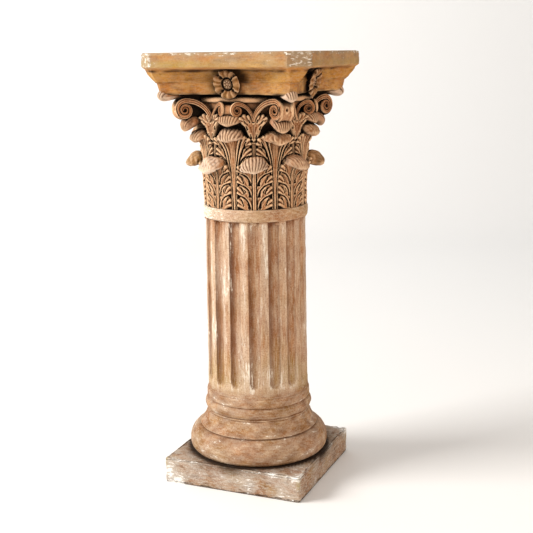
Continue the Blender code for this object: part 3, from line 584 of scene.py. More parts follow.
def lobe(x, y, side, root, bend, tips, wide, low, high):
    # leaflets from one root that sweep past one bend to their tips, each rounded and highest near its end
    height = np.zeros_like(x)
    for i in range(len(tips) - 1):
        # a web between each pair of leaflets, short of their tips
        heart = (np.array(tips[i], float) + tips[i + 1]) / 2 - [2.6, 1.6]
        body = sweep(side, root, (bend[0] + 1, bend[1] + 2), heart)
        height = np.maximum(height, stroke(x, y, body, np.linspace(2.2, 4.8, len(body)), low + 1.2, 0.15))
    for i, tip in enumerate(tips):
        share = i / max(len(tips) - 1, 1)
        turnOff = (bend[0] + (1 - share) * 2.5, bend[1] + share * 5.0)
        path = sweep(side, root, turnOff, tip)
        t = np.linspace(0, 1, len(path))
        width = 1.0 + (wide - 1.0) * np.sin(np.minimum(t * 1.15, 1) * 2.2) ** 0.8
        height = np.maximum(height, stroke(x, y, path, width, low + (high - low) * t, 0.45))
    return height


def drill(x, y, side, place, length=6.0, wide=1.4, lean=0.2):
    # a drop-shaped drilled eye, widest at its foot
    path = sweep(side, place, (place[0] + 0.1, place[1] + length * 0.5),
                 (place[0] + lean * length, place[1] + length), count=8)
    return stroke(x, y, path, np.linspace(wide, 0.5, 8), 4.5, 0.6)


def lowerRelief(x, y):
    x = x * 0.955
    height = stroke(x, y, sweep(1, (0, -6), (0, 20), (0, 70), count=8), np.linspace(11, 9, 8), 3.2, 0.12)
    for side in (-1, 1):
        # the lobes from the foot up: root beside the midrib, the bend past the eye, the tips at the edge
        for root, bend, tips in (
                ((10, -5), (13.5, 5), ((27, 8.5), (27, 16.5), (21.5, 23.5))),
                ((5.5, -2), (8.5, 18.5), ((27.5, 29.5), (27, 38), (21, 45))),
                ((5, 18), (7.8, 37.5), ((27.5, 48.5), (26.5, 56.5), (20, 63.5))),
                ((5, 38), (7.4, 56), ((26, 66.5), (24, 73.5), (17, 79))),
                ((4.5, 53), (6, 67), ((13, 78.5), (9, 80.5)))):
            height = np.maximum(height, lobe(x, y, side, root, bend, tips, 3.7, 3.2, 7.4))
        # grooves between the lobes, each with a raised rim beside it
        for cut in (((7, 2), (9.5, 15), (14.5, 22), (28.5, 26)),
                    ((6, 22), (8.4, 34), (14, 42), (28.5, 45.5)),
                    ((5.6, 42), (7.6, 53), (12.5, 60.5), (27, 64))):
            path = sweep(side, *cut)
            height -= stroke(x, y, path, np.linspace(1.0, 1.5, 22), np.linspace(4.0, 4.4, 22), 0.7)
            rim = path + np.array([-side * 1.9, 1.9])
            height = np.maximum(height, stroke(x, y, rim[2:-2], 1.5, np.linspace(5.0, 7.2, 18), 0.5))
        for eye, long in (((9.8, 4), 7.4), ((8.4, 23), 8.0), ((7.8, 43), 7.4)):
            height -= drill(x, y, side, eye, long, 1.8, 0.2)
        for eye in ((18.5, 7.5), (20.5, 13.5), (17.5, 27.5), (20.5, 34), (17.5, 46.5), (20, 52.5),
                    (17.5, 65), (14.5, 30)):
            height -= 0.85 * drill(x, y, side, eye, 5.2, 1.2, 0.45)
        height -= stroke(x, y, sweep(side, (4.4, -4), (4.0, 30), (3.4, 68)), 0.8, 4.4, 0.7)
    height = np.maximum(height, stroke(x, y, sweep(1, (0, -6), (0, 30), (0, 70), count=6), 2.9, 5.6, 0.22))
    height -= stroke(x, y, sweep(1, (0, -6), (0, 30), (0, 64), count=6), 0.55, 0.9, 0.6)
    return np.clip(height, 0, None)


def upperRelief(x, y):
    # ridges rise between two lower leaves, fan out and end under the tip; three lobes stand at each side
    x = x * 0.92
    height = stroke(x, y, sweep(1, (0, 56), (0, 84), (0, 120), count=8), np.linspace(7, 17, 8), 4.4, 0.12)
    for side in (-1, 1):
        for root, bend, tips in (
                ((6, 54), (10, 72), ((26, 74), (27.5, 82), (22.5, 89))),
                ((6.5, 68), (11, 88), ((28.5, 95), (27.5, 103), (21.5, 109.5))),
                ((9, 86), (14, 105), ((28, 113), (26, 120), (19, 124)))):
            height = np.maximum(height, lobe(x, y, side, root, bend, tips, 3.7, 4.0, 8.2))
        for cut in (((10.5, 74), (13, 87), (19, 92.5), (29, 91)),
                    ((13.5, 92), (15.5, 104), (20, 110), (28, 109.5)),
                    ((7.5, 60), (9.5, 68), (14, 72), (22, 68))):
            path = sweep(side, *cut)
            height -= stroke(x, y, path, np.linspace(1.7, 1.1, 22), np.linspace(4.2, 2.8, 22), 0.7)
            rim = path + np.array([-side * 2.3, 1.2])
            height = np.maximum(height, stroke(x, y, rim[2:-2], 1.3, 6.4, 0.5))
        for eye in ((10.6, 74), (13.2, 92), (19.5, 106)):
            height -= drill(x, y, side, eye, 6.5, 1.5)
        for eye in ((17, 83), (22.5, 88), (21, 101), (24, 78)):
            height -= 0.75 * drill(x, y, side, eye, 4.4, 1.0, 0.5)
        for foot, knee, waist, head, wide, tall in (
                ((3.6, -4), (3.4, 60), (7, 92), (20, 122), 1.9, 7.4),
                ((1.9, 20), (2.2, 72), (4.5, 96), (13, 120), 1.7, 7.8)):
            path = sweep(side, foot, knee, waist, head, count=30)
            t = np.linspace(0, 1, len(path))
            ridge = stroke(x, y, path, wide * (0.68 + 0.5 * t), 4.6 + (tall - 4.6) * t, 0.45)
            height = np.maximum(height, ridge)
        for foot, knee, waist, head in (((2.6, -4), (2.6, 66), (5.6, 94), (16.4, 120)),
                                        ((5.6, 20), (5.4, 64), (9.6, 92), (22, 116))):
            path = sweep(side, foot, knee, waist, head, count=30)
            height -= stroke(x, y, path, np.linspace(0.8, 1.2, 30), 3.4, 0.7)
    path = sweep(1, (0, -6), (0, 60), (0, 122), count=16)
    middle = stroke(x, y, path, np.linspace(1.3, 5.6, 16), np.linspace(4.4, 7.2, 16), 0.25)
    middle -= stroke(x, y, path[7:], 0.6, 0.9, 0.6)
    for side in (-1, 1):
        middle -= stroke(x, y, sweep(side, (0.6, 70), (1.2, 90), (3.4, 122)), 0.5, 0.7, 0.6)
    return np.clip(np.maximum(height, middle), 0, None)


def wrapped(x, y, radius, drawn, sizes, back):
    # A sheet wrapped round the bell: bearing = x / wrap. Each row runs across the front and then back again
    # at the back radius, inside the bell, where it counts as raised and so takes little painted shade.
    shape = (len(y), 6)
    backX = np.broadcast_to(np.linspace(1, -1, 8)[1:-1] * sizes["halfWidth"], shape)
    x = np.concatenate([x, backX], 1)
    z = np.concatenate([y, np.repeat(y[:, :1], 6, 1)], 1)
    radius = np.concatenate([radius, np.full(shape, back)], 1)
    drawn = np.concatenate([drawn, np.full(shape, 9.0)], 1)
    return aroundAxis(x / sizes["wrap"], radius * mm, capFoot + z * mm), drawn


def leafSheet(leaf, drawing):
    # radius = bell + drawn height + lean, with a bend outwards where the curled tip begins
    y = leaf["height"] * np.linspace(0, 1, leaf["rows"])
    x = np.linspace(-1, 1, leaf["columns"]) * leaf["halfWidth"]
    x, y = np.meshgrid(x, y)
    height = drawing(x, y) * smooth(leaf["height"], leaf["height"] - 4, y)
    height *= smooth(leaf["halfWidth"], leaf["halfWidth"] - 1.5, np.abs(x))
    lean = leaf["lean"] * (y / leaf["height"]) ** 1.6 + leaf["curl"] * smooth(*leaf["curlFrom"], y)
    radius = bellRadius(y) - 1.2 + height + lean * smooth(0, 1.5, height)
    points, drawn = wrapped(x, y, radius, height, leaf, leaf["sheetBack"])
    # the low parts of the drawing darken: painted shade between the lobes and leaflets
    return points, smooth(4.7, 2.2, drawn)


def roundedSection(corners, count):
    # cuts the corners of a closed outline three times, then spaces its points evenly
    loop = np.array(corners, float)
    for _ in range(3):
        following = np.roll(loop, -1, 0)
        loop = np.stack([0.75 * loop + 0.25 * following, 0.25 * loop + 0.75 * following], 1).reshape(-1, 2)
    loop = np.concatenate([loop, loop[:1]])
    length = np.concatenate([[0], np.cumsum(np.linalg.norm(np.diff(loop, axis=0), axis=1))])
    at = np.linspace(0, length[-1], count, endpoint=False)
    return np.interp(at, length, loop[:, 0]), np.interp(at, length, loop[:, 1])


# what is left of a tip's middle section at its ends, and how far out it starts to stand proud
tipEnds = {"top": 0.16, "foot": 0.22, "reach": 0.42, "proud": 8.0, "closed": 0.3, "closePower": 14}


def curledTip(tip, columns=62, around=44, ribShare=1.0, lowered=0.0, tilt=0.0):
    # A curled leaf tip. Its middle section shrinks towards both blunt ends: the top as a half ellipse,
    # the foot as a V with a rounded point. Ribs fan out from a pivot under the tongue.
    radius, z = roundedSection(tip["section"], around)
    u = np.sin(np.linspace(-1, 1, columns) * quarter * 0.985)[:, None]
    side = np.abs(u)
    arch = tipEnds["top"] + (1 - tipEnds["top"]) * (1 - side ** tip["arch"]) ** 0.5
    vee = tipEnds["foot"] + (1 - tipEnds["foot"]) * (1 - side ** tip["vee"])
    reach = tipEnds["reach"] + (1 - tipEnds["reach"]) * (1 - side ** 2.4) ** 0.5
    # beyond base the section stands proud of the leaf, and only there it shrinks inwards
    base = tip["section"][0][0] + tipEnds["proud"]
    stand = np.where(radius > base, base + (radius - base) * reach, radius)
    above = z - tip["middle"]
    height = tip["middle"] + (tip["ends"] - tip["middle"]) * side ** 2
    height = height + above * np.where(above > 0, arch, vee)
    # the last tenth of the width rounds off
    close = np.maximum(1 - side ** tipEnds["closePower"], 0.01) ** 0.5
    mean = height.mean(1, keepdims=True)
    height = mean + (height - mean) * close
    stand = base + (stand - base) * (tipEnds["closed"] + (1 - tipEnds["closed"]) * close)
    x = tip["half"] * u + 0 * height
    # ribs: rounded ridges with narrow grooves between them, cut square to the section
    fan = np.arctan2(x, height - tip["pivot"])
    widest = math.atan2(tip["half"], tip["middle"] + 4 - tip["pivot"])
    ripple = np.abs(np.cos(fan / widest * tip["ribs"] * quarter)) ** 0.5
    front = smooth(base - 2, base + 6, stand) * smooth(0.97, 0.80, side)
    front = front * smooth(z.min() + 1, z.min() + 6, z) * smooth(z.max() + 3, z.max() - 4, z)
    sink = tip["ribDepth"] * ribShare * (1 - ripple) * front
    middleX, middleZ = radius.mean(), z.mean()
    away = np.hypot(stand - middleX, height - middleZ) + 1e-6
    stand = stand - sink * (stand - middleX) / away
    height = height - sink * (height - middleZ) / away - lowered + tilt * x
    # chalk on the ridges, partly a painted highlight; a painted highlight on the lower rim and the left end,
    # where the light falls; painted shade in the grooves and under the tongue
    rim = smooth(z.min() + 6, z.min() + 2, z) * smooth(base + 6, base + 12, stand)
    rim = np.maximum(rim, smooth(0.80, 0.92, side) * smooth(base, base + 6, stand) * (x < 0))
    hollow = 0.98 * ribShare * (1 - ripple) ** 0.62 * front
    hollow = np.maximum(hollow, 0.85 * smooth(base + 9, base + 1, stand) * (above < 0))
    points = aroundAxis(x / tip["wrap"], stand * mm, capFoot + height * mm)
    return points, hollow, np.clip(0.75 * front * ripple + rim, 0, 1)


def roughened(points, depth, seed):
    # small hand-made differences between the copies of a part
    push = np.stack([unevenness(points, 34 * mm, seed + i) for i in range(3)], -1)
    fine = np.stack([unevenness(points, 8 * mm, seed + 9 + i) for i in range(3)], -1)
    return points + depth * (push + 0.35 * fine)


def leafCopies(leaf, drawing, firstBearing, seed):
    sheet, sheetHollow = leafSheet(leaf, drawing)
    sheets, tips = [], []
    for i in range(8):
        bearing = firstBearing + i * leafPitch
        rings = roughened(turnAbout(sheet, bearing), 0.55 * mm, seed + i)
        sheets.append(ringSolid(rings, sheetHollow, None, 3))
        # the less a tip is ribbed, the more it is folded by hand
        ribShare, chalk = leaf["ribShare"][i], leaf["chalk"][i]
        rings, hollow, ridgesAndHighlight = curledTip(leaf["tip"], ribShare=ribShare, lowered=leaf["lowered"][i],
                                          tilt=leaf["tilt"][i])
        rings = roughened(turnAbout(rings, bearing), (2.4 - 1.1 * ribShare) * mm, seed + 50 + i)
        wash = 0.5 * np.clip(unevenness(rings, 18 * mm, seed + 90 + i) + 0.2, 0, 1) * (1 - min(chalk, 1))
        tips.append(ringSolid(rings, np.maximum(hollow, wash), np.clip(chalk * ridgesAndHighlight, 0, 1), 3, 0.9 * mm,
                              leaf["tint"][i] * np.ones(ridgesAndHighlight.shape)))
    return sheets, tips


lowerSheets, lowerTips = leafCopies(lowerLeaf, lowerRelief, leafPitch / 2, 20)
upperSheets, upperTips = leafCopies(upperLeaf, upperRelief, 0.0, 40)
for name, parts in (("lower_leaves", lowerSheets), ("lower_leaf_tips", lowerTips),
                    ("upper_leaves", upperSheets), ("upper_leaf_tips", upperTips)):
    piece = buildPiece(name, parts, capitalClay)
    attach(piece, "root")


# Scrolls, their bolsters, the shells and horns, and the stalks that carry them. Millimetres again.
scrolls = {
    "shrink": 0.72,  # log of the shrink of the spiral in one turn
    "riseRows": 34, "coilRows": 100, "drumRows": 34, "drumAround": 56,
    "stalkRadius": 101.0, "splitHeight": 149.0,  # where two stems part from their stalk
    "corner": {"reach": 130.0, "spread": 13.2, "height": 168.0, "size": 21.5, "core": 15.0, "inset": 0.5,
               "turns": 2.3, "stand": 5.0, "lift": 3.5, "splay": 21.0, "ridge": 0.05, "hole": 0.32},
    "face": {"reach": 105.0, "spread": 13.8, "height": 168.0, "size": 15.2, "core": 8.6, "inset": 2.6,
             "turns": 2.1, "stand": 3.6, "lift": 2.0, "splay": 41.0, "ridge": 0.02, "hole": 0.0},
}


def scrollFrame(scroll, bearing, side):
    out = np.array([math.sin(bearing), -math.cos(bearing), 0])
    along = np.array([math.cos(bearing), math.sin(bearing), 0])
    middle = out * scroll["reach"] + along * side * scroll["spread"] + [0, 0, scroll["height"]]
    splay = math.radians(scroll["splay"])
    outward = out * math.cos(splay) - along * side * math.sin(splay)
    face = out * math.sin(splay) + along * side * math.cos(splay)
    return middle, outward, face


def scrollStem(scroll, bearing, side):
    # A quarter ellipse up from the stalk, then a spiral that winds in and steps forward
    middle, outward, face = scrollFrame(scroll, bearing, side)
    up = np.array([0, 0, 1.0])
    shrink = scrolls["shrink"]
    ratio = math.exp(-shrink)
    band = (1 - ratio) / (1 + ratio)
    outer = scroll["size"] / (1 + band)
    foot = bearing + side * leafPitch / 2
    split = aroundAxis(foot, scrolls["stalkRadius"], scrolls["splitHeight"])
    start = split - middle
    run, drop, aside = -start @ outward, -start[2], start @ face
    t = np.linspace(0, 1, scrolls["riseRows"])[:-1, None]
    angle = t * quarter
    rise = middle - outward * run * np.cos(angle) + face * aside * (1 - t) ** 1.6
    rise = rise + up * (-drop + (outer + drop) * np.sin(angle))
    turns = np.linspace(0, scroll["turns"], scrolls["coilRows"])[:, None]
    reach = outer * np.exp(-shrink * turns)
    swing = quarter - 2 * math.pi * turns
    coil = middle + outward * reach * np.cos(swing) + up * reach * np.sin(swing)
    coil = coil + face * scroll["lift"] * (1 - np.exp(-shrink * turns * 1.2))
    path = np.concatenate([rise, coil])
    thick = np.concatenate([0.62 + 0.38 * t[:, 0], np.exp(-shrink * turns[:, 0])])
    depth = np.concatenate([0.8 + 0.2 * t[:, 0], 0.35 + 0.65 * np.exp(-shrink * turns[:, 0])])
    faceWay = np.broadcast_to(face, path.shape)
    rounds = smooth(24, 44, np.arange(len(path)))
    rings = sweptTube(path * mm, faceWay, scroll["stand"] * depth * mm,
                      outer * band * (0.92 - 0.08 * rounds) * thick * mm, *bandSection(rounds))
    return rings + [0, 0, capFoot]


def bolster(scroll, bearing):
    # the drum between two discs, a little waisted; the corner one has a hole at its middle
    t = np.linspace(-1, 1, scrolls["drumRows"])
    angle = np.linspace(0, 2 * math.pi, scrolls["drumAround"], endpoint=False)
    left, right = (scrollFrame(scroll, bearing, s) for s in (-1, 1))
    centre = (left[0] + right[0]) / 2
    along = (right[0] - left[0]) / 2
    out = left[1] + right[1]
    out = out / np.linalg.norm(out)
    size = scroll["core"] * (1.06 + scroll["ridge"] * np.exp(-((np.abs(t) - 0.66) / 0.13) ** 2)
                             - 0.05 * np.exp(-(t / 0.4) ** 2))
    path = centre - out * scroll["inset"] + t[:, None] * along
    dent = scroll["hole"] * np.exp(-(t[:, None] / 0.10) ** 2 - ((angle - 0.1) / 0.14) ** 2)
    size = size[:, None] * (1 - dent)
    rings = (path[:, None] + out * (size * np.cos(angle))[..., None]
             + np.array([0, 0, 1.0]) * (size * np.sin(angle) * 1.05)[..., None])
    # painted shade in the hole and at both ends of the drum, where it meets the discs
    return rings * mm + [0, 0, capFoot], np.maximum(dent * 3, smooth(0.90, 0.96, np.abs(t))[:, None])


def cornerWeb(bearing):
    # the clay behind a pair of corner scrolls, from the bell out to their drum
    t = np.linspace(0, 1, 16)
    low, high = 152, 198
    x, z = roundedSection([(-7, low), (7, low), (8, 172), (8, high), (-8, high), (-8, 172)], 24)
    radius = 80 + 52 * t[:, None] + 0 * x
    z = np.minimum(z + 0.10 * (z - low) * t[:, None], high)
    return aroundAxis(x / radius + bearing, radius * mm, capFoot + z * mm)


shells = {
    "corner": {"arch": 2.6, "vee": 2.0, "wrap": 130.0,
               "section": [(98, 150), (110, 157.5), (121, 158.5), (129, 155), (133.5, 148), (135.2, 140),
                           (133, 133.5), (128, 130.5), (121, 133), (112, 138), (98, 144)],
               "middle": 148.0, "ends": 149.5, "half": 19.0, "pivot": 112.0, "ribs": 8, "ribDepth": 1.7},
    "face": {"arch": 3.0, "vee": 1.2, "wrap": 112.0,
             "section": [(84, 157), (97, 161.5), (107, 162), (113.5, 159), (117, 153), (117.8, 147),
                         (115.5, 142.6), (110, 141.2), (102, 143.5), (84, 148)],
             "middle": 151.0, "ends": 151.5, "half": 23.0, "pivot": 118.0, "ribs": 9, "ribDepth": 1.5},
    "horn": {"arch": 2.2, "vee": 1.3, "wrap": 162.0,
             "section": [(130, 189), (142, 197.5), (153, 203), (164, 204), (171, 200.5), (174.6, 193.5),
                         (173.4, 186.5), (167, 182.6), (156, 183), (144, 186), (130, 186.5)],
             "middle": 193.0, "ends": 192.0, "half": 12.0, "pivot": 164.0, "ribs": 6, "ribDepth": 2.2},
}
stalk = {"halfWidth": 25.0, "low": 82.0, "high": 163.0, "columns": 60, "rows": 74, "wrap": 98.0,
         "inside": 82.0, "back": 78.0, "stand": 89.5,
         # it leans out beside the calyx, and its wings bend out at their ends
         "lean": 5.0, "leanFrom": (112, 132), "bend": 0.012, "bendFrom": (130, 150)}


def stalkRelief(x, y):
    # grooved stalk, collar, bud-shaped calyx with drilled eyes, and the leafy wings at its sides
    height = stroke(x, y, sweep(1, (0, 78), (0, 95), (0, 112), count=4), 3.9, 5.0, 0.35)
    for side in (-1, 1):
        height -= stroke(x, y, sweep(side, (1.3, 78), (1.3, 95), (1.3, 111), count=4), 0.6, 1.0, 0.6)
    height = np.maximum(height, stroke(x, y, np.array([(-4.2, 114.0), (4.2, 114.0)]), 1.9, 7.2, 0.4))
    height = np.maximum(height, stroke(x, y, sweep(1, (0, 118), (0, 128), (0, 146), count=14),
                                       2.2 + 7.6 * np.sin(np.linspace(0, 2.3, 14)) ** 0.9, 8.8, 0.25))
    for side in (-1, 1):
        for path, start, end, tall in (
                (((0.5, 119), (5, 125), (6.6, 135)), 2.4, 5.4, 10.0),
                (((4.5, 131), (8.0, 139), (7.0, 149)), 4.8, 4.0, 10.0),
                (((6, 134), (11, 140), (12.5, 147)), 4.4, 3.8, 10.0),
                (((8, 140), (13, 144), (16.5, 149)), 4.0, 3.8, 10.8),
                (((4, 143), (6.5, 152), (8.5, 158)), 4.2, 3.6, 9.4),
                (((9, 148), (13, 154), (15, 159)), 4.0, 3.8, 10.4),
                (((12, 150), (16.5, 154), (20, 155)), 3.8, 3.6, 11.6)):
            way = sweep(side, *path, count=12)
            height = np.maximum(height, stroke(x, y, way, np.linspace(start, end, 12), tall, 0.5))
        wing = sweep(side, (3, 136), (8, 148), (17, 153), count=16)
        raised = stroke(x, y, wing, np.linspace(4.6, 5.6, 16), np.linspace(8.4, 9.6, 16), 0.25)
        height = np.maximum(height, raised)
        for eye, long, wide, lean in (((3.9, 122.5), 6.5, 1.7, 0.2), ((9.6, 137), 5.0, 1.3, 0.3),
                                      ((12.8, 148), 4.4, 1.1, 0.6), ((6.2, 149), 4.4, 1.0, 0.3)):
            height -= drill(x, y, side, eye, long, wide, lean)
        height -= stroke(x, y, sweep(side, (0.4, 149), (0.6, 154), (0.8, 161), count=6), 1.1, 5.0, 0.5)
    height -= stroke(x, y, sweep(1, (0, 123), (0, 132), (0, 144), count=6), 0.6, 0.8, 0.6)
    return np.clip(height, 0, None)


def stalkSheet():
    # It stands free of the bell where anything is drawn: radius = stand + drawn height. Elsewhere it stays
    # inside the bell.
    y = np.linspace(stalk["low"], stalk["high"], stalk["rows"])
    x = np.linspace(-1, 1, stalk["columns"]) * stalk["halfWidth"]
    x, y = np.meshgrid(x, y)
    height = stalkRelief(x, y) * smooth(stalk["halfWidth"], stalk["halfWidth"] - 1, np.abs(x))
    height *= smooth(stalk["high"], stalk["high"] - 1, y) * smooth(stalk["low"], stalk["low"] + 1, y)
    out = stalk["stand"] + stalk["lean"] * smooth(*stalk["leanFrom"], y)
    out += stalk["bend"] * x ** 2 * smooth(*stalk["bendFrom"], y)
    radius = stalk["inside"] + (out + height - stalk["inside"]) * smooth(0.0, 2.2, height)
    points, drawn = wrapped(x, y, radius, height, stalk, stalk["back"])
    # painted shade in the low parts round the stalk and calyx, and a little all over
    return points, np.maximum(smooth(6.5, 2.5, drawn), 0.15)


def makeScrolls():
    parts = []
    for i in range(4):
        face = i * quarter
        corner = face + quarter / 2
        for label, bearing in (("corner", corner), ("face", face)):
            scroll = scrolls[label]
            for side in (-1, 1):
                rings = roughened(scrollStem(scroll, bearing, side), 0.3 * mm, 100 + i)
                parts.append(ringSolid(rings, None, None, 2))
            drum, paintedShade = bolster(scroll, bearing)
            drum = roughened(drum, 0.3 * mm, 160 + i)
            parts.append(ringSolid(drum, np.clip(paintedShade, 0, 1), None, 3, 0.4 * mm))
        web = cornerWeb(corner)
        # the web is dark all over: painted shade behind the scrolls
        parts.append(ringSolid(web, np.ones(web.shape[:2])))
    return parts


def makeShells():
    parts = []
    for i in range(4):
        for label, turn, white in (("corner", 0.5, 0.15), ("face", 0.0, 0.15), ("horn", 0.5, 0.7)):
            bearing = (i + turn) * quarter
            rings, hollow, ridgesAndHighlight = curledTip(shells[label], 56, 42)
            rings = roughened(turnAbout(rings, bearing), 0.5 * mm, 190 + i)
            hollow = np.maximum(hollow, 0.4 * np.clip(unevenness(rings, 15 * mm, 195 + i), 0, 1))
            parts.append(ringSolid(rings, hollow, white * ridgesAndHighlight, 3, 0.8 * mm))
    return parts


def makeStalks():
    sheet, hollow = stalkSheet()
    parts = []
    for i in range(8):
        rings = roughened(turnAbout(sheet, (i + 0.5) * leafPitch), 0.4 * mm, 220 + i)
        parts.append(ringSolid(rings, hollow, None, 3))
    return parts


for name, make in (("scrolls", makeScrolls), ("shells", makeShells), ("stalks", makeStalks)):
    piece = buildPiece(name, make(), capitalClay)
    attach(piece, "root")


# Bell
def makeBell():
    # the wall up to the lip, the rounded lip, and a neck that runs on up into the abacus
    lip, low, top = bell["lip"], bell["lipLow"], (topZ - capFoot) / mm - bell["topDrop"]
    lipTop = low + bell["lipHigh"]
    wall, arc = np.linspace(0, low, 60), np.linspace(-1, 1, 12)[1:]
    y = np.concatenate([wall, [low + 0.3], low + (arc + 1) / 2 * bell["lipHigh"], [lipTop + 0.2, top]])
    radius = np.concatenate([bellRadius(wall), [lip - bell["lipRound"]],
                             lip - bell["lipRound"] * np.abs(arc) ** 2.4, np.full(2, bell["neck"])])
    bearing = np.linspace(0, 2 * math.pi, 144, endpoint=False)
    radius, bearing = np.meshgrid(radius, bearing, indexing="ij")
    y = y[:, None] + 0 * radius
    rings = aroundAxis(bearing, radius * mm, capFoot + y * mm)
    # painted shade behind the leaves and in the gap over the lip
    hollow = np.maximum(smooth(158, 140, y), smooth(lip - 4, lip - 9, radius) * (y > low))
    return ringSolid(rings, hollow, None, 3)


bellPiece = buildPiece("bell", [makeBell()], capitalClay)
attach(bellPiece, "root")


# Abacus, with heights measured down from the top
abacus = {
    "hollow": 38.0, "sideSteps": 52, "cornerSteps": 12, "rows": 66, "topRows": 14,
    # the slab on top stands a little inside the CAD; depths under the top where it starts and is full
    "inset": 0.5 * mm, "slab": (26 * mm, 21 * mm),
    # chips: depth, height of the band they bite into, half side and diagonal where they start and are full
    "chip": 2.8 * mm, "chipBand": 7 * mm, "edge": (140 * mm, 151 * mm), "corner": (268 * mm, 276 * mm),
    "arris": 277.5 * mm,
    # drop below the top, half side, corner cut, share of the hollow
    "profile": [(68.6, 123.0, 9.0, 0.56), (49.8, 126.8, 9.2, 0.60), (49.0, 128.8, 9.6, 0.62),
                (47.6, 129.6, 10.0, 0.64), (45.6, 132.2, 12.0, 0.76), (41.0, 136.4, 15.4, 0.94),
                (36.0, 140.8, 19.4, 1.08), (31.0, 144.4, 23.0, 1.14), (28.6, 145.6, 25.0, 1.15),
                (27.4, 146.6, 26.0, 0.9), (25.6, 149.2, 28.6, 0.10), (24.2, 151.6, 29.6, 0.02),
                (22.8, 152.4, 30.0, 0.0), (21.4, 152.6, 30.0, 0.0), (3.0, 152.6, 30.0, 0.0),
                (0.9, 151.9, 30.0, 0.0), (0.0, 150.4, 30.0, 0.0)],
    # chalk on the slab, the top face, the corner cuts, the worn arrises, the top edge and the chips
    "slabChalk": 0.42, "topChalk": 0.05, "cornerChalk": 0.5, "arrisChalk": 0.3, "edgeChalk": 0.25,
    "chipChalk": 1.1,
    # painted shadow round each rosette, cast to its right as the light comes from the left: how far to the
    # right, how far down, and where it starts and is full
    "washRight": 4.0, "rosetteShadowDrop": 50.0, "wash": (46, 22),
    # painted shade in lines of the moulding, under the slab and at the fillet: strength, depth under the
    # top, half width
    "shadeLines": ((0.8, 30, 1.8), (0.45, 48.6, 1.2)),
}


def abacusLoop(half, cut, hollow):
    # four sides drawn in by a parabola and four flat corner cuts, in mm; points crowd at the arrises
    t = np.sin(np.linspace(-1, 1, abacus["sideSteps"]) * quarter)
    side = np.stack([t * (half - cut), -(half - hollow * (1 - t * t))], -1)
    s = 0.5 + 0.5 * np.sin(np.linspace(-1, 1, abacus["cornerSteps"] + 2)[1:-1, None] * quarter)
    corner = side[-1] + s * (np.array([half, -(half - cut)]) - side[-1])
    one = np.concatenate([side, corner])
    return np.concatenate([one @ np.array([[math.cos(k), math.sin(k)], [-math.sin(k), math.cos(k)]])
                           for k in (0, quarter, 2 * quarter, 3 * quarter)])


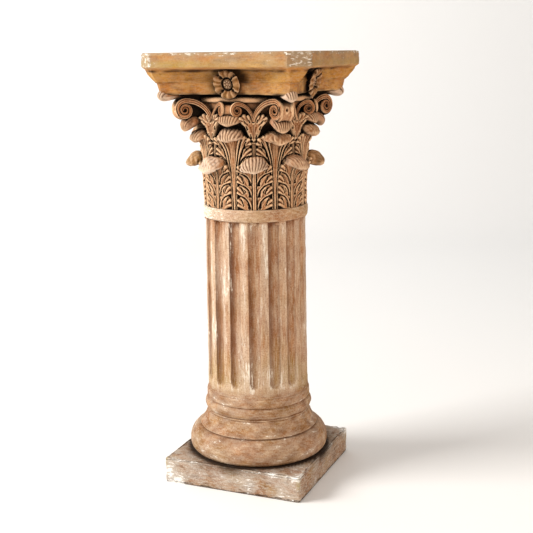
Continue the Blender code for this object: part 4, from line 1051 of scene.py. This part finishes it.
def makeAbacus():
    table = np.array(abacus["profile"])
    length = np.concatenate([[0], np.cumsum(np.hypot(*np.diff(table[:, :2], axis=0).T))])
    at = np.linspace(0, length[-1], abacus["rows"])
    drop, half, cut, share = (np.interp(at, length, table[:, k]) for k in range(4))
    loops = [abacusLoop(half[0], cut[0], abacus["hollow"]) * k for k in (0.1, 0.5, 0.85)]
    loops += [abacusLoop(h, c, abacus["hollow"] * s) for h, c, s in zip(half, cut, share)]
    loops += [abacusLoop(half[-1], cut[-1], 0) * k for k in np.linspace(0.97, 0.03, abacus["topRows"])]
    z = np.concatenate([np.full(3, -drop[0]), -drop, np.zeros(abacus["topRows"])])
    flat = np.stack(loops) * mm
    level = np.broadcast_to((topZ + z * mm)[:, None, None], flat.shape[:2] + (1,))
    rings = np.concatenate([flat, level], -1)
    n = gridNormals(rings)
    outward = np.sign((n[..., :2] * rings[..., :2]).sum())
    # chips along the top edge and the corners of the slab, dents on the faces
    slabLow, slabHigh = topZ - np.array(abacus["slab"])
    nearTop = smooth(topZ - abacus["chipBand"], topZ - 0.5 * mm, rings[..., 2])
    edge = smooth(*abacus["edge"], np.abs(rings[..., :2]).max(-1))
    diagonal = np.abs(rings[..., 0]) + np.abs(rings[..., 1])
    corner = smooth(*abacus["corner"], diagonal)
    slab = smooth(slabLow, slabHigh, rings[..., 2])
    bite = np.clip(unevenness(rings, 15 * mm, 70) + 0.6 * unevenness(rings, 6 * mm, 71), 0, 1)
    chips = abacus["chip"] * bite * edge * (0.45 * nearTop + 0.5 * corner * slab)
    rough = 0.3 * mm * unevenness(rings, 30 * mm, 72) + 0.15 * mm * unevenness(rings, 6 * mm, 73)
    rough += 0.25 * mm * unevenness(rings * [1, 1, 3], 11 * mm, 74)
    inside = smooth(topZ, topZ - 2 * mm, rings[..., 2])
    rings = rings - n * outward * (chips + (abacus["inset"] * slab - rough) * inside)[..., None]
    rings[..., 2] = np.minimum(rings[..., 2], topZ)
    # worn grey at the corner cuts, white where the slab is chipped
    top = smooth(topZ - 1.2 * mm, topZ - 0.3 * mm, rings[..., 2])
    arrisWear = corner * slab * smooth(3 * mm, 1.5 * mm, np.abs(diagonal - abacus["arris"]) + 0.5 * mm)
    spots = np.clip(1.5 * unevenness(rings, 9 * mm, 77), 0, 1)
    chalk = abacus["slabChalk"] * slab + abacus["topChalk"] * top + abacus["arrisChalk"] * arrisWear
    chalk += corner * (abacus["cornerChalk"] + 0.3 * spots * slab)
    chalk += edge * (abacus["edgeChalk"] * nearTop + abacus["chipChalk"] * bite * (nearTop + corner * slab))
    chalk = np.clip(chalk + 0.25 * unevenness(rings, 40 * mm, 75), 0, 1)
    # yellow on the front and the back, low on the slab and over the cove; drop is the depth under the top
    drop = (topZ - rings[..., 2]) / mm
    front = smooth(0.02, -0.06, rings[..., 0]) * (rings[..., 1] < 0) + (rings[..., 1] > 0) * 0.5
    tint = smooth(9, 17, drop) * smooth(25, 22, drop) * (0.5 + 0.5 * front)
    tint = np.clip(tint + 0.3 * smooth(30, 34, drop) * smooth(50, 47, drop), 0, 1)
    # beside is how far a point lies to the right of the middle of its own face
    x, y = rings[..., 0] / mm, rings[..., 1] / mm
    beside = np.where(np.abs(y) > np.abs(x), -x * np.sign(y), y * np.sign(x))
    away = np.hypot(beside - abacus["washRight"], 1.1 * (drop - abacus["rosetteShadowDrop"]))
    # the painted shade comes and goes in patches and fades towards the right of each face, where the cove
    # turns to the light: painted light
    patchesAndLight = 0.88 + 0.7 * unevenness(rings, 26 * mm, 76) - 0.3 * smooth(15, 75, beside)
    # painted shade: a shadow round each rosette, and shade under the slab, in the lines of the moulding and
    # along the foot
    hollow = 0.9 * smooth(*abacus["wash"], away) * smooth(26, 30, drop)
    hollow += 0.25 * smooth(40, 30, drop) * (drop > 27)
    for share, depth, spread in abacus["shadeLines"]:
        hollow += share * np.exp(-((drop - depth) / spread) ** 2)
    hollow += 0.5 * smooth(64, 68, drop) + 0.2 * smooth(48, 52, drop) + 0.14 * slab
    return ringSolid(rings, np.clip(hollow * patchesAndLight, 0, 1), chalk, 3, 1.6 * mm, tint, np.ones(tint.shape))


rosette = {"radius": 23.2, "drop": 51.5, "back": 94.0, "front": 112.0, "lean": 0.26, "gapDepth": 6.5,
           "ring": 0.44, "boss": 0.31, "folds": 12, "foldDepth": 0.8, "lift": 4.6, "eyeDepth": 5.5,
           # drilled eyes as strength, place, length and width; the ring cut round the button; its beads
           "eyes": ((1.0, 0.58, 0.08, 0.15), (0.8, 0.86, 0.05, 0.07)),
           "cut": 0.39, "cutHalf": 0.055, "cutDepth": 8.0, "beads": 7, "beadPlace": 0.2, "beadSize": 0.085,
           "beadHeight": 2.6, "buttonDrop": 1.6,
           "root": 0.52, "flareRows": 14, "faceRows": 42, "around": 112}


def makeRosette(bearing, seed):
    # A flower in polar form: rows run from the narrow root out to the rim, then over the face to the
    # button. Four thick petals part at the diagonals with drilled eyes, and have a few soft folds.
    flare, root = np.linspace(0, 1, rosette["flareRows"]), rosette["root"]
    share = [root + (1 - root) * flare ** 1.5, np.linspace(0.995, 0.02, rosette["faceRows"])]
    share = np.concatenate(share)
    wall = np.concatenate([0.88 * flare, np.ones(rosette["faceRows"])])
    angle = np.linspace(0, 2 * math.pi, rosette["around"], endpoint=False)
    share, angle = np.meshgrid(share, angle, indexing="ij")
    wall = wall[:, None] + 0 * angle
    petal = smooth(rosette["ring"] - 0.02, rosette["ring"] + 0.08, share)
    apart = np.abs(np.mod(angle + 0.15 * np.sin(seed + angle), quarter) - quarter / 2)
    gap = np.exp(-(apart / (0.05 + 0.07 * share)) ** 2) * petal
    fold = np.cos(angle * rosette["folds"] + 0.9 * np.sin(angle * 3 + seed))
    reach = rosette["radius"] * share * (1 - 0.07 * gap * smooth(0.7, 1, share)
                                         + 0.012 * fold * smooth(0.6, 1, share))
    onPetal = np.clip((share - rosette["ring"]) / (1 - rosette["ring"]), 0, 1)
    lift = (rosette["lift"] * np.sin(onPetal * 2.7) ** 0.8 + rosette["foldDepth"] * fold) * petal
    lift = lift - rosette["gapDepth"] * 0.5 * gap
    eye = sum(strength * np.exp(-((share - place) / length) ** 2 - (apart / width) ** 2)
              for strength, place, length, width in rosette["eyes"])
    ring = np.exp(-((share - rosette["cut"]) / rosette["cutHalf"]) ** 4)
    lift = lift - rosette["eyeDepth"] * eye - rosette["cutDepth"] * ring
    button = smooth(rosette["boss"] + 0.04, rosette["boss"] - 0.04, share)
    beadX, beadY = share * np.sin(angle), share * np.cos(angle)
    beads = np.exp(-(share / 0.10) ** 2)
    for place in np.arange(rosette["beads"]) * 2 * math.pi / rosette["beads"]:
        besideX = beadX - rosette["beadPlace"] * math.sin(place)
        besideY = beadY - rosette["beadPlace"] * math.cos(place)
        beads = np.maximum(beads, np.exp(-(besideX ** 2 + besideY ** 2) / rosette["beadSize"] ** 2))
    lift = lift + button * (rosette["beadHeight"] * beads - rosette["buttonDrop"])
    up, x = reach * np.cos(angle) * 1.03, reach * np.sin(angle)
    # the whole flower leans forward at its top, as the cove does
    out = rosette["back"] + (rosette["front"] - rosette["back"]) * wall ** 0.9
    out = out + (lift + rosette["lean"] * up) * wall
    points = np.stack([x, -out, topZ / mm - rosette["drop"] + up], -1) * mm
    # painted shade under the petals, in the gaps, folds and drilled eyes, in the cut round the button and
    # between its beads
    under = smooth(0.9, 0.4, wall) + 0.4 * (wall < 0.85) * (fold < 0)
    creases = 0.6 * gap + 0.3 * smooth(-0.3, -0.9, fold) * petal + 1.3 * eye + 1.2 * ring
    hollow = np.clip(0.2 + creases + button * (0.7 - beads) + under, 0, 1)
    points = roughened(turnAbout(points, bearing), 0.8 * mm, seed)
    return ringSolid(points, hollow, 0.5 * button * beads, 2, tint=np.full(hollow.shape, 0.5))


abacusPiece = buildPiece("abacus", [makeAbacus()], abacusClay)
rosettePiece = buildPiece("rosettes", [makeRosette(i * quarter, 300 + i) for i in range(4)], capitalClay)
for piece in (abacusPiece, rosettePiece):
    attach(piece, "root")
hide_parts("capital")


# Floor, light and camera
studio = {
    "floor": "#EDEEEF", "floorRough": 0.95, "world": "#FFFBF6", "worldStrength": 0.57,
    # the sheet of paper in metres: distance of its wall, radius of its bend, height, half width
    "wall": 3.4, "bend": 1.2, "wallTop": 3.0, "spread": 12.0,
    # place and aim of each square lamp in metres, its side, its watts and its colour
    "lamps": {"key": ((-2.7, -2.0, 2.3), (0, 0, 0.42), 1.8, 196, "#FFFBF5"),
              "back": ((-1.6, 1.0, 2.6), (-3.0, 3.0, 0.4), 2.0, 14, "#FFFFFF"),
              "fill": ((1.9, -1.3, 0.8), (0, 0, 0.4), 1.2, 20, "#FFDFBE")},
}


def makeStudio():
    # one sheet of paper: level floor, a quarter round, and a wall behind, square to the camera
    wall, bend, spread = studio["wall"], studio["bend"], studio["spread"]
    turn = np.linspace(0, quarter, 14)
    run = np.concatenate([[-spread], wall - bend + bend * np.sin(turn), [wall]])
    rise = np.concatenate([[0], bend * (1 - np.cos(turn)), [studio["wallTop"]]])
    sheet = np.array([[(-spread, u, v), (spread, u, v)] for u, v in zip(run, rise)]).reshape(-1, 3)
    sheet = turnAbout(sheet, math.radians(photo["azimuth"]))
    mesh = bpy.data.meshes.new("floor")
    faces = [(2 * i, 2 * i + 1, 2 * i + 3, 2 * i + 2) for i in range(len(run) - 1)]
    mesh.from_pydata(sheet.tolist(), [], faces)
    mesh.shade_smooth()
    floor = bpy.data.objects.new("floor", mesh)
    bpy.context.scene.collection.objects.link(floor)
    paper = bpy.data.materials.new("matt paper ground")
    paper.use_nodes = True
    shader = paper.node_tree.nodes["Principled BSDF"]
    shader.inputs["Base Color"].default_value = linear(studio["floor"])
    shader.inputs["Roughness"].default_value = studio["floorRough"]
    mesh.materials.append(paper)
    world = bpy.data.worlds.new("studio")
    world.use_nodes = True
    background = world.node_tree.nodes["Background"]
    background.inputs["Color"].default_value = linear(studio["world"])
    background.inputs["Strength"].default_value = studio["worldStrength"]
    bpy.context.scene.world = world
    for name, (place, aim, size, power, colour) in studio["lamps"].items():
        light = bpy.data.lights.new(name, "AREA")
        light.size, light.energy, light.color = size, power, linear(colour)[:3]
        lamp = bpy.data.objects.new(name, light)
        lamp.location = place
        lamp.rotation_euler = (Vector(aim) - Vector(place)).to_track_quat("-Z", "Y").to_euler()
        bpy.context.scene.collection.objects.link(lamp)


photo = {"azimuth": 23.32, "distance": 1.811, "height": 0.765, "yaw": 0.57, "pitch": 11.97, "roll": -0.75,
         "lens": 69.33, "sensor": 36.0}


def makeCamera():
    # yaw, pitch and roll are measured from a camera that looks level at the axis
    yaw, pitch, roll, azimuth = (math.radians(photo[key]) for key in ("yaw", "pitch", "roll", "azimuth"))
    turn = (Matrix.Rotation(azimuth - yaw, 3, "Z") @ Matrix.Rotation(quarter - pitch, 3, "X")
            @ Matrix.Rotation(roll, 3, "Z"))
    data = bpy.data.cameras.new("camera")
    data.lens, data.sensor_width = photo["lens"], photo["sensor"]
    data.clip_start, data.clip_end = 0.05, 60
    camera = bpy.data.objects.new("camera", data)
    camera.matrix_world = turn.to_4x4()
    camera.location = aroundAxis(azimuth, photo["distance"], photo["height"])
    bpy.context.scene.collection.objects.link(camera)
    bpy.context.scene.camera = camera


makeStudio()
makeCamera()
bpy.context.scene.view_settings.view_transform = "Standard"
print("floor, lamps and camera are in place")
